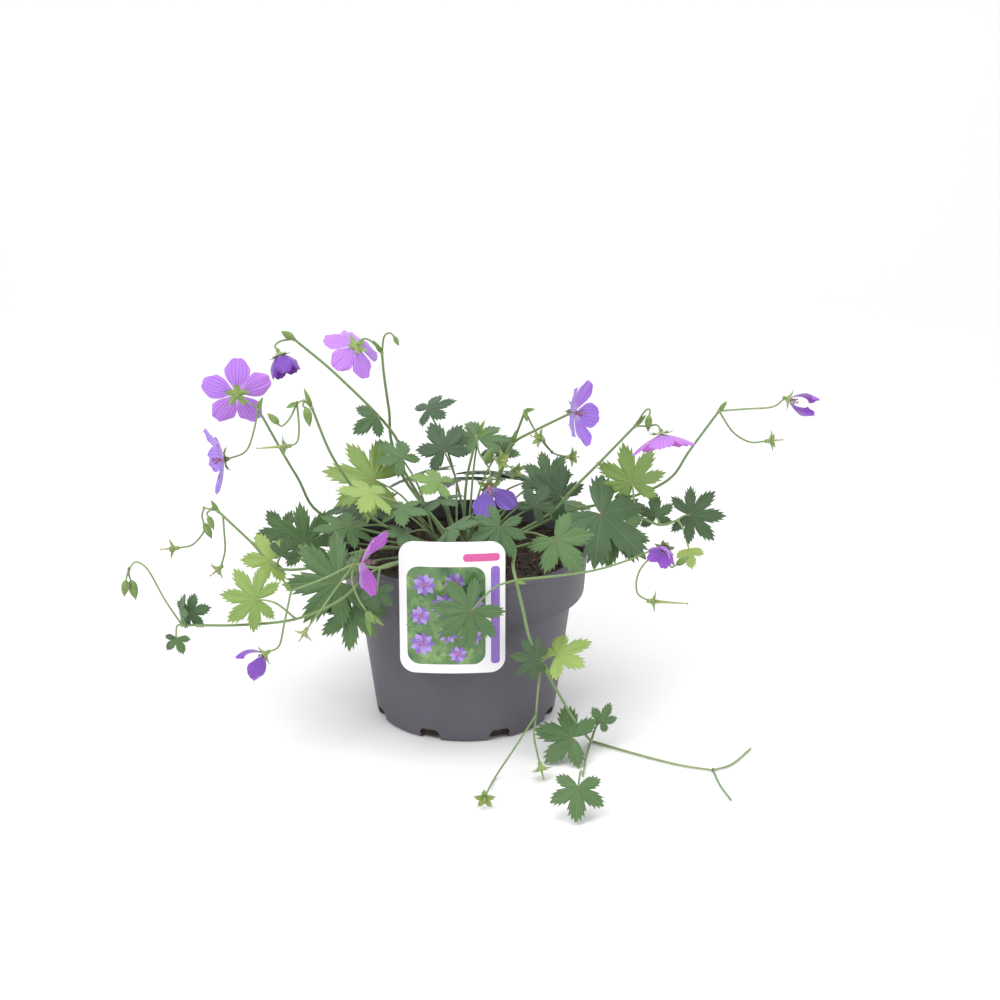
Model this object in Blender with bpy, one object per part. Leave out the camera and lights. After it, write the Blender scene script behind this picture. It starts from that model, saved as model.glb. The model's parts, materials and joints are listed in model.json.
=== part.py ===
"""Hardy geranium in a round nursery pot: pot, soil, plant label, leafy stems, leaf tufts and blooms.

Lengths are in millimetres until a mesh is made. The origin is the centre of the pot's underside, +Z is up
and the front of the plant looks along -Y. Most places are given as seen from the front: a pixel of the
1000 x 1000 photograph, right and down, and a true depth Y in millimetres.
"""

import math
import random
from collections import namedtuple

import bmesh
import bpy
from mathutils import Matrix, Vector

MM = 0.001
GAP = 0.3

# Front view
PIXELS_PER_MM = 1.284
FOOT_PIXEL = (466.0, 704.5)
CENTRE_PIXEL = 500.0
VIEW_TILT = math.radians(19.5)
VIEW_DISTANCE = 1800.0

# Pot
POT_HEIGHT = 136.0
POT_RIM_R = 95.0
POT_COLLAR_FOOT_R = 90.5
POT_COLLAR_FOOT_Z = 99.0
POT_SHOULDER_R = 81.5
POT_FOOT_R = 69.0
POT_WALL = 1.6
POT_SIDES = 32
COLLAR_MIDDLE_R = 93.2
INSIDE_LIFTS = (0, 1.2, 1.2, 0.5)
POT_FLOOR = 3.0
POT_SHOULDER_Z = 97.0
POT_OUTSIDE = (
    (66.5, 0.0), (POT_FOOT_R, 2.5), (POT_SHOULDER_R, POT_SHOULDER_Z), (POT_COLLAR_FOOT_R, POT_COLLAR_FOOT_Z),
    (COLLAR_MIDDLE_R, 131.0), (POT_RIM_R, 133.0), (POT_RIM_R, POT_HEIGHT),
)
POT_VENTS = 8
VENT_WIDTH = 16.0
VENT_HEIGHT = 9.0
VENT_DEPTH = 14.0

# Soil
SOIL_TOP_Z = 125.0
SOIL_RINGS = 3
SOIL_SIDES = POT_SIDES
SOIL_BUMP = 1.6
SOIL_LIFT = 1.8
SOIL_EDGE_DROP = 2.0
SOIL_EDGE_SHARE = 0.7
SOIL_CLEAR_Z = 128.5
HOLE_DEPTH = 12.0
HOLE_SIDES = 6

# Label
LABEL_WIDTH = 77.0
LABEL_FOOT_Z = 69.0
LABEL_TOP_Z = 171.0
LABEL_THICK = 0.8
LABEL_CORNER = 11.0
LABEL_X = -8.0
LABEL_BEND_R = 190.0
LABEL_Y = -96.2
CORNER_STEPS = 4
TONGUE_WIDTH = 24.0
TONGUE_FOOT_Z = 112.0
TONGUE_Y = -83.6
BRIDGE_Z = 137.0

# Plant
STEM_R = 1.25
STEM_SIDES = 5
TWIG_SIDES = 4
TWIG_R = 0.75
STEM_TIP_R = 0.95
CROWN_R = 1.6
CROWN_TOP_Z = 134.5
CROWN_STEP = 1.7
PETIOLE_R = 0.8
PETIOLE_TIP_R = 0.55
PETIOLE_RISE = 0.14
RIM_CLEAR_Z = 142.0
OVERLAP = 1.2
MERGE = 0.0005
SHARP_ANGLE = math.radians(28)
BLADE_THICK = 0.7
PETAL_THICK = 0.7
LOBE_STEP = {7: 46.0, 5: 60.0, 3: 62.0}
LOBE_TEETH = ((-0.14, 0.76), (-0.27, 0.8), (0.0, 1.0), (0.27, 0.8), (0.14, 0.76))
LOBE_NOTCH = 0.5
LOBE_SHRINK = 0.24
LEAF_CURL = math.radians(9)
LEAF_FOLD = 0.03
LEAF_HEART = 0.2
BRACT_WIDTH = 3.6
BUD_PLUMP = 0.19
SEPAL_FOOT = 2.6
CORE_SINK = 0.9
SEPAL_LENGTH = 9.5
SEPAL_THICK = 0.65
SEPAL_LEAN = 22.0
CALYX_SPREAD = 52.0
CORE_R = 1.3
BEAK_R = 1.0
CALYX_TOP = 0.2
BEAK_FOOT = 3.0
PETAL_CROWD = 0.6
PETAL_CROWD_MOST = 1.6
PETAL_ROOT_HALF = 0.9
PETAL_SET = 1.0
PETAL_HEART = 1.2
PETAL_CORE_R = 2.2
PETAL_CORE_SIDES = 6
PETAL_MIDDLE = 0.55
PETAL_WIDTH = 18.0
PETAL_LENGTH = 27.0
PETAL_FOOT = 2.2
PETAL_CUP = 0.05
CUP_FADE = 3
PETAL_ROLL = 0.05
PETAL_OUTLINE = ((0.0, 0.2), (0.45, 0.74), (0.8, 1.0), (0.97, 0.5), (0.93, 0.0), (0.97, -0.5), (0.8, -1.0),
                 (0.45, -0.74), (0.0, -0.2))


def camera_ray(right, down):
    """(eye, direction) of the front view's line of sight through a pixel."""
    forward = Vector((0, math.cos(VIEW_TILT), -math.sin(VIEW_TILT)))
    up = Vector((0, math.sin(VIEW_TILT), math.cos(VIEW_TILT)))
    side = Vector((1, 0, 0))
    aim = (side * (CENTRE_PIXEL - FOOT_PIXEL[0]) + up * (FOOT_PIXEL[1] - CENTRE_PIXEL)) / PIXELS_PER_MM
    eye = aim - forward * VIEW_DISTANCE
    focal = VIEW_DISTANCE * PIXELS_PER_MM
    return eye, forward * focal + side * (right - CENTRE_PIXEL) + up * (CENTRE_PIXEL - down)


def at(right, down, depth):
    """The point at depth Y that the front view shows at this pixel."""
    eye, ray = camera_ray(right, down)
    return eye + ray * ((depth - eye.y) / ray.y)


def low(right, down, height=1.5):
    """The point at this height above the surface that the front view shows at this pixel."""
    eye, ray = camera_ray(right, down)
    return eye + ray * ((height - eye.z) / ray.z)


Leaf = namedtuple("Leaf", "start base tip face lobes")
Twig = namedtuple("Twig", "path radius")
Bud = namedtuple("Bud", "base tip")
Calyx = namedtuple("Calyx", "base toward beak")
Bloom = namedtuple("Bloom", "name base toward spread petals length")
Stem = namedtuple("Stem", "name root path twigs leaves buds calyces blooms")

FRONT = Vector((0.0, -1.0, 0.35))
UP = Vector((0.0, -0.25, 1.0))
LYING = Vector((0.0, -0.75, 0.75))
BRIGHT = Vector((0.1, -0.8, 0.6))
BESIDE = Vector((0.55, -0.7, 0.45))
WHOLE = (0, 72, 144, 216, 288)
TURNED = (36, 108, 180, 252, 324)

LEAFY_STEMS = (
    Stem(
        "stem_top_left", (-9, 17), [at(404, 478, 40), at(395, 436, 38), at(340, 378, 30), at(294, 339, 22)],
        twigs=[Twig([at(294, 339, 22), at(281, 341, 20), at(275, 346, 17), at(278, 351, 15)], TWIG_R)],
        leaves=[Leaf(at(384, 424, 37), at(376, 416, 30), at(353, 434, 24), FRONT, 3)],
        buds=[Bud(at(294, 339, 22), at(281, 331, 16))],
        calyces=[],
        blooms=[Bloom("bloom_goblet", at(278, 351, 15), (0.35, -0.35, -0.85), 26, WHOLE, 20)],
    ),
    Stem(
        "stem_top", (-16, 27), [at(396, 455, 66), at(389, 410, 66), at(384, 375, 64), at(382, 353, 62)],
        twigs=[
            Twig([at(382, 353, 62), at(384, 337, 60), at(390, 333, 58), at(395, 338, 56)], TWIG_R),
            Twig([at(382, 353, 62), at(371, 341, 58), at(363, 339, 55), at(358, 344, 52)], TWIG_R),
        ],
        leaves=[Leaf(at(382, 353, 62), at(379, 349, 60), at(373, 340, 58), FRONT, 1)],
        buds=[Bud(at(394, 336, 56), at(399, 346, 54))],
        calyces=[],
        blooms=[Bloom("bloom_top", at(358, 344, 52), (-0.5, 0.45, -0.72), 62, WHOLE, 26)],
    ),
    Stem(
        "stem_upper_left", (-20, 7), [at(328, 518, 6), at(296, 475, -4), at(258, 409, -22)],
        twigs=[
            Twig([at(258, 409, -22), at(248, 402, -21), at(237, 395, -18)], TWIG_R),
            Twig([at(258, 409, -22), at(254, 430, -24), at(246, 451, -26), at(228, 459, -26)], TWIG_R),
        ],
        leaves=[Leaf(at(258, 409, -22), at(259, 406, -24), at(263, 397, -25), FRONT, 1)],
        buds=[],
        calyces=[],
        blooms=[
            Bloom("bloom_upper_left", at(237, 395, -18), (-0.12, 0.98, 0.1), 78, TURNED, 27),
            Bloom("bloom_left", at(227, 459, -26), (-0.95, -0.28, -0.05), 68, WHOLE, 27),
        ],
    ),
    Stem(
        "stem_nodding", (-13, -2), [at(378, 522, -12), at(352, 487, -13), at(330, 452, -22),
                                    at(312, 408, -30)],
        twigs=[
            Twig([at(312, 408, -30), at(304, 401, -30), at(297, 403, -31)], TWIG_R),
            Twig([at(304, 401, -30), at(303, 405, -33), at(305, 408, -36)], TWIG_R),
            Twig([at(297, 403, -31), at(290, 418, -33), at(282, 426, -34), at(277, 423, -34)], TWIG_R),
            Twig([at(297, 403, -31), at(299, 428, -30), at(297, 442, -29), at(289, 446, -28)], TWIG_R),
        ],
        leaves=[Leaf(at(297, 403, -31), at(294, 404, -32), at(286, 408, -34), FRONT, 1),
                Leaf(at(312, 408, -30), at(309, 399, -30), at(304, 388, -30), FRONT, 1)],
        buds=[Bud(at(306, 407, -36), at(310, 427, -38)), Bud(at(279, 424, -34), at(267, 413, -36))],
        calyces=[Calyx(at(289, 446, -28), at(276, 447, -30), 21)],
        blooms=[],
    ),
    Stem(
        "stem_left", (-22, -11),
        [at(392, 548, -52), at(350, 554, -66), at(320, 566, -62), at(278, 568, -52), at(250, 541, -44),
         at(218, 511, -38)],
        twigs=[
            Twig([at(218, 511, -38), at(210, 509, -38), at(204, 508, -38)], TWIG_R),
            Twig([at(212, 509, -38), at(207, 513, -41), at(208, 516, -44)], TWIG_R),
            Twig([at(204, 508, -38), at(202, 516, -37), at(204, 524, -37)], TWIG_R),
            Twig([at(204, 524, -37), at(203, 533, -34), at(192, 545, -33), at(177, 548, -33)], TWIG_R),
            Twig([at(223, 516, -39), at(224, 530, -40), at(225, 550, -41), at(221, 567, -41)], TWIG_R),
        ],
        leaves=[
            Leaf(at(276, 568, -52), at(271, 560, -50), at(238, 560, -46), FRONT, 5),
            Leaf(at(276, 568, -52), at(281, 556, -54), at(290, 536, -56), FRONT, 3),
            Leaf(at(218, 511, -38), at(216, 508, -38), at(211, 500, -38), FRONT, 1),
        ],
        buds=[Bud(at(208, 516, -44), at(214, 530, -47)), Bud(at(204, 523, -37), at(212, 539, -38))],
        calyces=[
            Calyx(at(177, 548, -33), at(165, 549, -33), 9),
            Calyx(at(221, 567, -41), at(208, 578, -46), 7),
        ],
        blooms=[],
    ),
    Stem(
        "stem_lower_left", (-9, -18), [at(405, 562, -80), at(380, 568, -86), at(354, 564, -92)],
        twigs=[
            Twig([at(354, 564, -92), at(325, 578, -96), at(291, 591, -94)], 1.0),
            Twig([at(354, 564, -92), at(354, 560, -99), at(360, 560, -106)], TWIG_R),
            Twig([at(354, 564, -92), at(335, 590, -108), at(318, 614, -112), at(306, 630, -112)], TWIG_R),
            Twig([at(354, 564, -92), at(352, 580, -98), at(358, 598, -102), at(366, 611, -104)], TWIG_R),
            Twig([at(291, 591, -94), at(284, 625, -106), at(279, 646, -108), at(268, 652, -108)], TWIG_R),
        ],
        leaves=[
            Leaf(at(291, 591, -94), at(289, 588, -94), at(283, 580, -94), FRONT, 1),
            Leaf(at(366, 611, -104), at(367, 613, -104), at(371, 637, -106), FRONT, 1),
            Leaf(at(366, 611, -104), at(369, 611, -105), at(384, 626, -107), FRONT, 1),
            Leaf(at(380, 568, -86), at(377, 592, -98), at(372, 616, -104), FRONT, 5),
        ],
        buds=[Bud(at(366, 611, -104), at(375, 624, -110))],
        calyces=[Calyx(at(306, 630, -112), at(300, 640, -115), 6)],
        blooms=[
            Bloom("bloom_rim", at(360, 560, -106), (0.9, -0.42, -0.05), 62, (0, 144, 216, 288), 27),
            Bloom("bloom_wilting_left", at(268, 652, -108), (-0.82, -0.25, -0.5), 30, (0, 80, 190), 22),
        ],
    ),
    Stem(
        "stem_far_left", (-27, -17), [at(398, 562, -74), at(372, 572, -82), at(340, 600, -94),
                                      at(296, 619, -94),
                                      at(240, 625, -86), at(182, 625, -72)],
        twigs=[
            Twig([at(182, 625, -72), at(165, 600, -68), at(148, 570, -64), at(136, 562, -62),
                  at(129, 569, -61)], TWIG_R),
            Twig([at(129, 569, -61), at(127, 575, -61), at(126, 581, -62)], TWIG_R),
            Twig([at(129, 569, -61), at(129, 575, -60), at(131, 581, -57)], TWIG_R),
            Twig([at(182, 625, -72), at(177, 626, -73), at(176, 636, -74)], TWIG_R),
        ],
        leaves=[
            Leaf(at(296, 619, -94), at(256, 599, -92), at(217, 594, -88), FRONT, 7),
            Leaf(at(182, 625, -72), at(181, 612, -74), at(186, 594, -76), UP, 5),
            Leaf(at(182, 625, -72), at(189, 613, -70), at(212, 607, -66), FRONT, 5),
            Leaf(at(176, 636, -74), at(176, 638, -74), at(166, 651, -76), FRONT, 3),
            Leaf(at(176, 636, -74), at(177, 638, -76), at(184, 655, -79), FRONT, 3),
        ],
        buds=[Bud(at(126, 580, -62), at(124, 597, -62)), Bud(at(131, 580, -57), at(136, 600, -56))],
        calyces=[],
        blooms=[],
    ),
    Stem(
        "stem_trailing", (8, -27),
        [at(512, 546, -58), at(513, 566, -84), at(516, 580, -99), at(523, 610, -104), at(530, 640, -103),
         at(541, 662, -98), at(560, 696, -92), at(577, 724, -89), at(591, 741, -86)],
        twigs=[
            Twig([at(516, 580, -99), at(580, 573, -92), at(620, 563, -82), at(662, 546, -66)], 1.0),
            Twig([at(662, 546, -66), at(665, 543, -71), at(667, 545, -77)], TWIG_R),
            Twig([at(662, 546, -66), at(640, 570, -62), at(637, 592, -66), at(649, 601, -74)], TWIG_R),
            Twig([at(662, 546, -66), at(668, 557, -60), at(671, 567, -60), at(676, 565, -62)], TWIG_R),
            Twig([at(541, 662, -98), at(538, 690, -104), at(536, 715, -110)], 1.0),
            Twig([at(536, 715, -110), at(516, 746, -140), low(496, 776, 2.5), low(485, 796, 9)], TWIG_R),
            Twig([at(536, 715, -110), at(534, 735, -120), at(537, 752, -126), at(540, 764, -130)], TWIG_R),
            Twig([low(591, 741), low(640, 755), low(680, 765), low(713, 770)], 1.0),
            Twig([low(713, 770), low(732, 764), low(751, 748)], TWIG_R),
            Twig([low(713, 770), low(720, 785), low(731, 800)], TWIG_R),
            Twig([low(591, 741), low(586, 758), low(583, 776, 3)], TWIG_R),
        ],
        leaves=[
            Leaf(at(516, 580, -99), at(471, 611, -112), at(437, 640, -114), FRONT, 7),
            Leaf(at(541, 662, -98), at(536, 659, -106), at(510, 656, -112), FRONT, 7),
            Leaf(at(541, 662, -98), at(557, 655, -92), at(591, 640, -84), UP, 5),
            Leaf(low(591, 741), low(572, 737, 19), low(532, 728, 20), LYING, 5),
            Leaf(low(591, 741), at(601, 722, -84), at(611, 703, -80), BESIDE, 5),
            Leaf(low(583, 776, 3), low(578, 788, 22), low(576, 822, 3.5), FRONT, 5),
            Leaf(at(516, 580, -99), at(518, 577, -101), at(526, 584, -104), FRONT, 1),
            Leaf(at(541, 662, -98), at(544, 664, -100), at(551, 677, -102), FRONT, 1),
        ],
        buds=[Bud(at(676, 565, -62), at(690, 556, -62))],
        calyces=[
            Calyx(at(649, 601, -74), at(664, 602, -75), 26),
            Calyx(low(485, 796, 9), low(484, 806, 8), 5),
            Calyx(at(540, 764, -130), at(544, 780, -134), 8),
        ],
        blooms=[Bloom("bloom_right_low", at(667, 545, -77), (-0.42, -0.75, -0.5), 45, WHOLE, 16)],
    ),
    Stem(
        "stem_right_leafy", (22, -6), [at(560, 536, -26), at(600, 524, -12), at(635, 517, -4),
                                       at(660, 525, 2),
                                       at(678, 520, 6)],
        twigs=[],
        leaves=[
            Leaf(at(635, 517, -4), at(632, 483, -4), at(622, 440, -2), FRONT, 7),
            Leaf(at(585, 528, -18), at(601, 514, -26), at(648, 558, -34), BESIDE, 5),
            Leaf(at(612, 521, -10), at(618, 531, -26), at(606, 569, -36), FRONT, 7),
            Leaf(at(660, 525, 2), at(656, 517, 6), at(654, 492, 10), FRONT, 5),
            Leaf(at(678, 520, 6), at(690, 515, 6), at(727, 516, 4), FRONT, 7),
            Leaf(at(678, 520, 6), at(689, 549, 4), at(692, 570, 2), FRONT, 3),
        ],
        buds=[],
        calyces=[],
        blooms=[],
    ),
    Stem(
        "stem_right", (17, 4), [at(548, 515, -4), at(572, 490, -6), at(600, 462, -8), at(635, 426, -10)],
        twigs=[
            Twig([at(635, 426, -10), at(645, 411, -12), at(650, 410, -14), at(649, 417, -16)], TWIG_R),
            Twig([at(635, 426, -10), at(648, 426, -14), at(657, 425, -17), at(661, 431, -20)], TWIG_R),
        ],
        leaves=[Leaf(at(635, 426, -10), at(637, 423, -10), at(646, 415, -8), FRONT, 1)],
        buds=[Bud(at(649, 415, -16), at(648, 432, -18))],
        calyces=[],
        blooms=[Bloom("bloom_right", at(661, 431, -20), (0.15, -0.3, -0.92), 62, WHOLE, 27)],
    ),
    Stem(
        "stem_far_right", (24, 9), [at(568, 512, 30), at(622, 500, 34), at(668, 480, 32),
                                    at(690, 450, 28), at(719, 411, 22)],
        twigs=[
            Twig([at(719, 411, 22), at(745, 409, 20), at(772, 407, 18), at(784, 399, 16)], TWIG_R),
            Twig([at(719, 411, 22), at(733, 432, 22), at(750, 442, 21), at(767, 441, 20)], TWIG_R),
        ],
        leaves=[Leaf(at(719, 411, 22), at(721, 408, 22), at(727, 401, 22), FRONT, 1)],
        buds=[],
        calyces=[Calyx(at(767, 441, 20), at(779, 440, 17), 9)],
        blooms=[Bloom("bloom_wilting_right", at(785, 398, 16), (0.9, -0.12, -0.28), 12, (0, 150), 24)],
    ),
    Stem(
        "stem_middle", (11, 13), [at(492, 498, 14), at(503, 462, 10), at(513, 443, 6),
                                  at(540, 428, 0), at(571, 413, -6)],
        twigs=[
            Twig([at(503, 462, 10), at(508, 466, 0), at(513, 468, -8)], TWIG_R),
        ],
        leaves=[Leaf(at(513, 443, 6), at(512, 440, 4), at(516, 430, 2), FRONT, 1),
                ],
        buds=[],
        calyces=[Calyx(at(513, 468, -8), at(520, 474, -14), 7)],
        blooms=[Bloom("bloom_middle_right", at(571, 413, -6), (0.86, -0.42, 0.12), 66, WHOLE, 27)],
    ),
    Stem(
        "stem_forked", (8, 24), [at(498, 480, 44), at(511, 448, 42), at(525, 411, 40)],
        twigs=[
            Twig([at(525, 411, 40), at(536, 432, 36), at(552, 452, 32), at(568, 457, 30)], TWIG_R),
            Twig([at(552, 452, 32), at(547, 446, 24), at(543, 440, 20)], TWIG_R),
        ],
        leaves=[Leaf(at(525, 411, 40), at(526, 408, 38), at(535, 409, 34), FRONT, 1),
                Leaf(at(525, 411, 40), at(526, 413, 38), at(527, 422, 36), FRONT, 1)],
        buds=[],
        calyces=[Calyx(at(568, 457, 30), at(578, 457, 26), 6), Calyx(at(543, 440, 20), at(532, 436, 16), 8)],
        blooms=[],
    ),
    Stem(
        "stem_centre", (-1, 9), [at(464, 520, 2), at(467, 478, 2), at(477, 436, 0)],
        twigs=[
            Twig([at(477, 436, 0), at(479, 452, -8), at(486, 463, -14)], TWIG_R),
            Twig([at(486, 463, -14), at(490, 472, -22), at(489, 483, -28)], TWIG_R),
            Twig([at(486, 463, -14), at(492, 458, -20), at(498, 460, -26)], TWIG_R),
        ],
        leaves=[Leaf(at(477, 436, 0), at(480, 432, -2), at(485, 420, -2), FRONT, 1),
                Leaf(at(477, 436, 0), at(481, 434, -4), at(491, 430, -8), FRONT, 1),
                ],
        buds=[Bud(at(486, 463, -14), at(493, 448, -22))],
        calyces=[Calyx(at(498, 460, -26), at(506, 461, -32), 7)],
        blooms=[Bloom("bloom_front", at(489, 484, -28), (0.05, -0.8, -0.42), 66, (-12, 56), 26)],
    ),
)

LEAF_TUFTS = (
    Stem("leaves_back_left", (-23, 17), [], [], [
        Leaf(None, at(374, 479, 16), at(322, 470, 14), BRIGHT, 7),
        Leaf(None, at(402, 458, 18), at(376, 440, 28), UP, 5),
        Leaf(None, Vector((-78, 40, 152)), Vector((-112, 50, 140)), UP, 7),
    ], [], [], []),
    Stem("leaves_left", (-31, -4), [], [], [
        Leaf(None, at(350, 527, -40), at(311, 530, -46), UP, 7),
        Leaf(None, at(305, 543, -26), at(299, 500, -20), FRONT, 7),
        Leaf(None, at(284, 532, 2), at(254, 538, 6), FRONT, 5),
    ], [], [], []),
    Stem("leaves_front_left", (-32, -14), [], [], [
        Leaf(None, at(352, 610, -82), at(349, 652, -90), FRONT, 7),
        Leaf(None, at(338, 582, -84), at(281, 585, -78), FRONT, 7),
    ], [], [], []),
    Stem("leaves_left_inner", (-14, -12), [], [], [
        Leaf(None, at(374, 494, -42), at(333, 490, -50), UP, 5),
        Leaf(None, at(399, 509, -46), at(430, 514, -54), UP, 5),
        Leaf(None, at(406, 533, -60), at(380, 535, -68), UP, 5),
    ], [], [], []),
    Stem("leaves_back", (2, 31), [], [], [
        Leaf(None, at(478, 438, 52), at(470, 420, 84), UP, 7),
        Leaf(None, at(444, 450, 36), at(430, 422, 54), FRONT, 5),
        Leaf(None, at(498, 452, 62), at(518, 436, 74), UP, 5),
        Leaf(None, at(428, 409, 74), at(458, 400, 76), UP, 5),
    ], [], [], []),
    Stem("leaves_middle", (-8, 3), [], [], [
        Leaf(None, at(440, 482, -14), at(408, 476, -12), UP, 5),
        Leaf(None, at(438, 499, -24), at(458, 505, -42), UP, 5),
    ], [], [], []),
    Stem("leaves_right", (15, 22), [], [], [
        Leaf(None, at(548, 478, 24), at(541, 450, 42), FRONT, 7),
        Leaf(None, at(560, 496, 6), at(528, 474, 14), FRONT, 5),
    ], [], [], []),
    Stem("leaves_right_inner", (18, -14), [], [], [
        Leaf(None, at(534, 507, -38), at(548, 486, -32), FRONT, 5),
        Leaf(None, at(556, 540, -72), at(583, 572, -86), FRONT, 5),
    ], [], [], []),
    Stem("leaves_front", (1, -16), [], [], [
        Leaf(None, at(500, 527, -74), at(487, 560, -86), FRONT, 7),
        Leaf(None, at(450, 529, -68), at(480, 522, -78), UP, 5),
    ], [], [], []),
    Stem("leaves_behind_left", (-7, 37), [], [], [
        Leaf(None, Vector((-36, 92, 160)), Vector((-50, 120, 142)), UP, 7),
        Leaf(None, Vector((-8, 84, 158)), Vector((-16, 120, 138)), UP, 7),
    ], [], [], []),
    Stem("leaves_behind_right", (5, 37), [], [], [
        Leaf(None, Vector((22, 88, 162)), Vector((28, 122, 142)), UP, 7),
        Leaf(None, Vector((50, 78, 158)), Vector((74, 104, 142)), UP, 7),
        Leaf(None, Vector((72, 54, 148)), Vector((100, 68, 138)), UP, 5),
    ], [], [], []),
)


def smooth_path(points, steps):
    """Points along a smooth curve through the given ones."""
    ends = [points[0] * 2 - points[1], *points, points[-1] * 2 - points[-2]]
    path = [points[0]]
    for before, start, end, after in zip(ends, ends[1:], ends[2:], ends[3:]):
        for step in range(1, steps + 1):
            t = step / steps
            path.append(0.5 * (2 * start + (end - before) * t + (2 * before - 5 * start + 4 * end - after) * t**2
                               + (3 * start - before - 3 * end + after) * t**3))
    return path


def solid(name, corners, faces):
    """A closed body from corners in millimetres, its faces turned outward."""
    mesh = bpy.data.meshes.new(name)
    mesh.from_pydata([corner * MM for corner in corners], [], faces)
    shape = bmesh.new()
    shape.from_mesh(mesh)
    bmesh.ops.recalc_face_normals(shape, faces=shape.faces)
    if shape.calc_volume(signed=True) < 0:
        bmesh.ops.reverse_faces(shape, faces=shape.faces)
    shape.to_mesh(mesh)
    shape.free()
    body = bpy.data.objects.new(name, mesh)
    bpy.context.scene.collection.objects.link(body)
    return body


def ring(centre, across, beside, radius, sides):
    """A loop of points round a centre."""
    turns = [math.tau * side / sides for side in range(sides)]
    return [centre + (across * math.cos(turn) + beside * math.sin(turn)) * radius for turn in turns]


def stitch(outer, inner):
    """The faces between two loops of corners that run the same way round."""
    if len(outer) == len(inner):
        pairs = range(len(outer))
        return [(outer[side - 1], outer[side], inner[side], inner[side - 1]) for side in pairs]
    faces = []
    far, near = 0, 0
    while far < len(outer) or near < len(inner):
        this_far, this_near = outer[far % len(outer)], inner[near % len(inner)]
        if near == len(inner) or len(inner) == 1 or (far + 1) * len(inner) <= (near + 1) * len(outer):
            if far == len(outer):
                break
            far += 1
            if len(outer) > 1:
                faces.append((this_far, outer[far % len(outer)], this_near))
        else:
            near += 1
            faces.append((this_far, inner[near % len(inner)], this_near))
    return faces


def loop_body(loops):
    """A closed body skinned over loops of points; a loop of one point is a tip."""
    corners = []
    numbered = []
    for loop in loops:
        numbered.append(list(range(len(corners), len(corners) + len(loop))))
        corners.extend(loop)
    faces = [tuple(loop) for loop in (numbered[0], numbered[-1]) if len(loop) > 2]
    for first, second in zip(numbered, numbered[1:]):
        faces.extend(stitch(first, second) if len(first) >= len(second) else stitch(second, first))
    return solid("body", corners, faces)


def tube_loops(points, start_r, end_r, sides):
    """(loops, last direction across) of a round stem that starts a little behind its first point."""
    line = [points[0] - (points[1] - points[0]).normalized() * OVERLAP, *points[1:]]
    across = (line[1] - line[0]).orthogonal()
    loops = []
    for index, point in enumerate(line):
        along = (line[min(index + 1, len(line) - 1)] - line[max(index - 1, 0)]).normalized()
        across = (across - along * across.dot(along)).normalized()
        radius = start_r + (end_r - start_r) * index / (len(line) - 1)
        loops.append(ring(point, across, along.cross(across), radius, sides))
    return loops, across


def tube(points, start_r, end_r, sides):
    """A round stem along the points."""
    return loop_body(tube_loops(points, start_r, end_r, sides)[0])


def leaf_outline(lobes):
    """(degrees from the middle lobe, reach) round a leaf, a reach of 1 being the tip of the middle lobe."""
    half = lobes // 2
    step = LOBE_STEP[lobes]
    points = [(-(half + 0.62) * step, 0.3)]
    for lobe in range(-half, half + 1):
        reach = 1 - LOBE_SHRINK * (abs(lobe) / half) ** 1.4
        teeth = LOBE_TEETH[1:4] if lobe else LOBE_TEETH
        if lobe > -half:
            points.append(((lobe - 0.5) * step, LOBE_NOTCH * reach))
        points.extend(((lobe + turn) * step, reach * share) for turn, share in sorted(teeth))
    points.append(((half + 0.62) * step, 0.3))
    return points


def leaf_frame(leaf):
    """(along, across, face, length) of a leaf that curls back so that its tip still meets the given point."""
    line = leaf.tip - leaf.base
    length = line.length
    ahead = line.normalized()
    face = (leaf.face - ahead * leaf.face.dot(ahead)).normalized()
    along = ahead * math.cos(LEAF_CURL) + face * math.sin(LEAF_CURL)
    face = face * math.cos(LEAF_CURL) - ahead * math.sin(LEAF_CURL)
    return along, along.cross(face), face, length


def leaf_body(leaf, stalk):
    """A lobed and toothed leaf, curled a little, its notches sunk, drawn out into its stalk at the base."""
    along, across, face, length = leaf_frame(leaf)
    outline = []
    for degrees, reach in leaf_outline(leaf.lobes):
        turn = math.radians(degrees)
        away = along * math.cos(turn) + across * math.sin(turn)
        drop = length * math.sin(LEAF_CURL) * reach**2 + length * LEAF_FOLD * math.sin(math.pi * min(reach, 1))
        outline.append(leaf.base + away * reach * length * math.cos(LEAF_CURL) - face * drop)
    outline.append(leaf.base + across * PETIOLE_TIP_R)
    outline.append(leaf.base - across * PETIOLE_TIP_R)
    count = len(outline)
    heart = leaf.base + along * LEAF_HEART * length
    half = face * BLADE_THICK / 2
    corners = [heart + half, *(point + half for point in outline)]
    corners += [heart - half, *(point - half for point in outline)]
    faces = []
    under = count + 1
    for index in range(count):
        near, far = 1 + index, 1 + (index + 1) % count
        faces.append((0, near, far))
        faces.append((under, far + under, near + under))
        if index != count - 2:
            faces.append((near, near + under, far + under))
            faces.append((near, far + under, far))
    last = [count - 1, count, count + under, count - 1 + under]
    beside = across
    for index in range(len(stalk) - 2, -1, -1):
        line = (stalk[index + 1] - stalk[max(index - 1, 0)]).normalized()
        beside = (beside - line * beside.dot(line)).normalized()
        above = beside.cross(line)
        sides = ((1, 1), (-1, 1), (-1, -1), (1, -1))
        ringed = [stalk[index] + (beside * x + above * y) * PETIOLE_R * 0.8 for x, y in sides]
        this = list(range(len(corners), len(corners) + 4))
        corners.extend(ringed)
        faces.extend((last[side - 1], last[side], this[side], this[side - 1]) for side in range(4))
        last = this
    faces.append(tuple(last))
    return solid("leaf", corners, faces)


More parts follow.
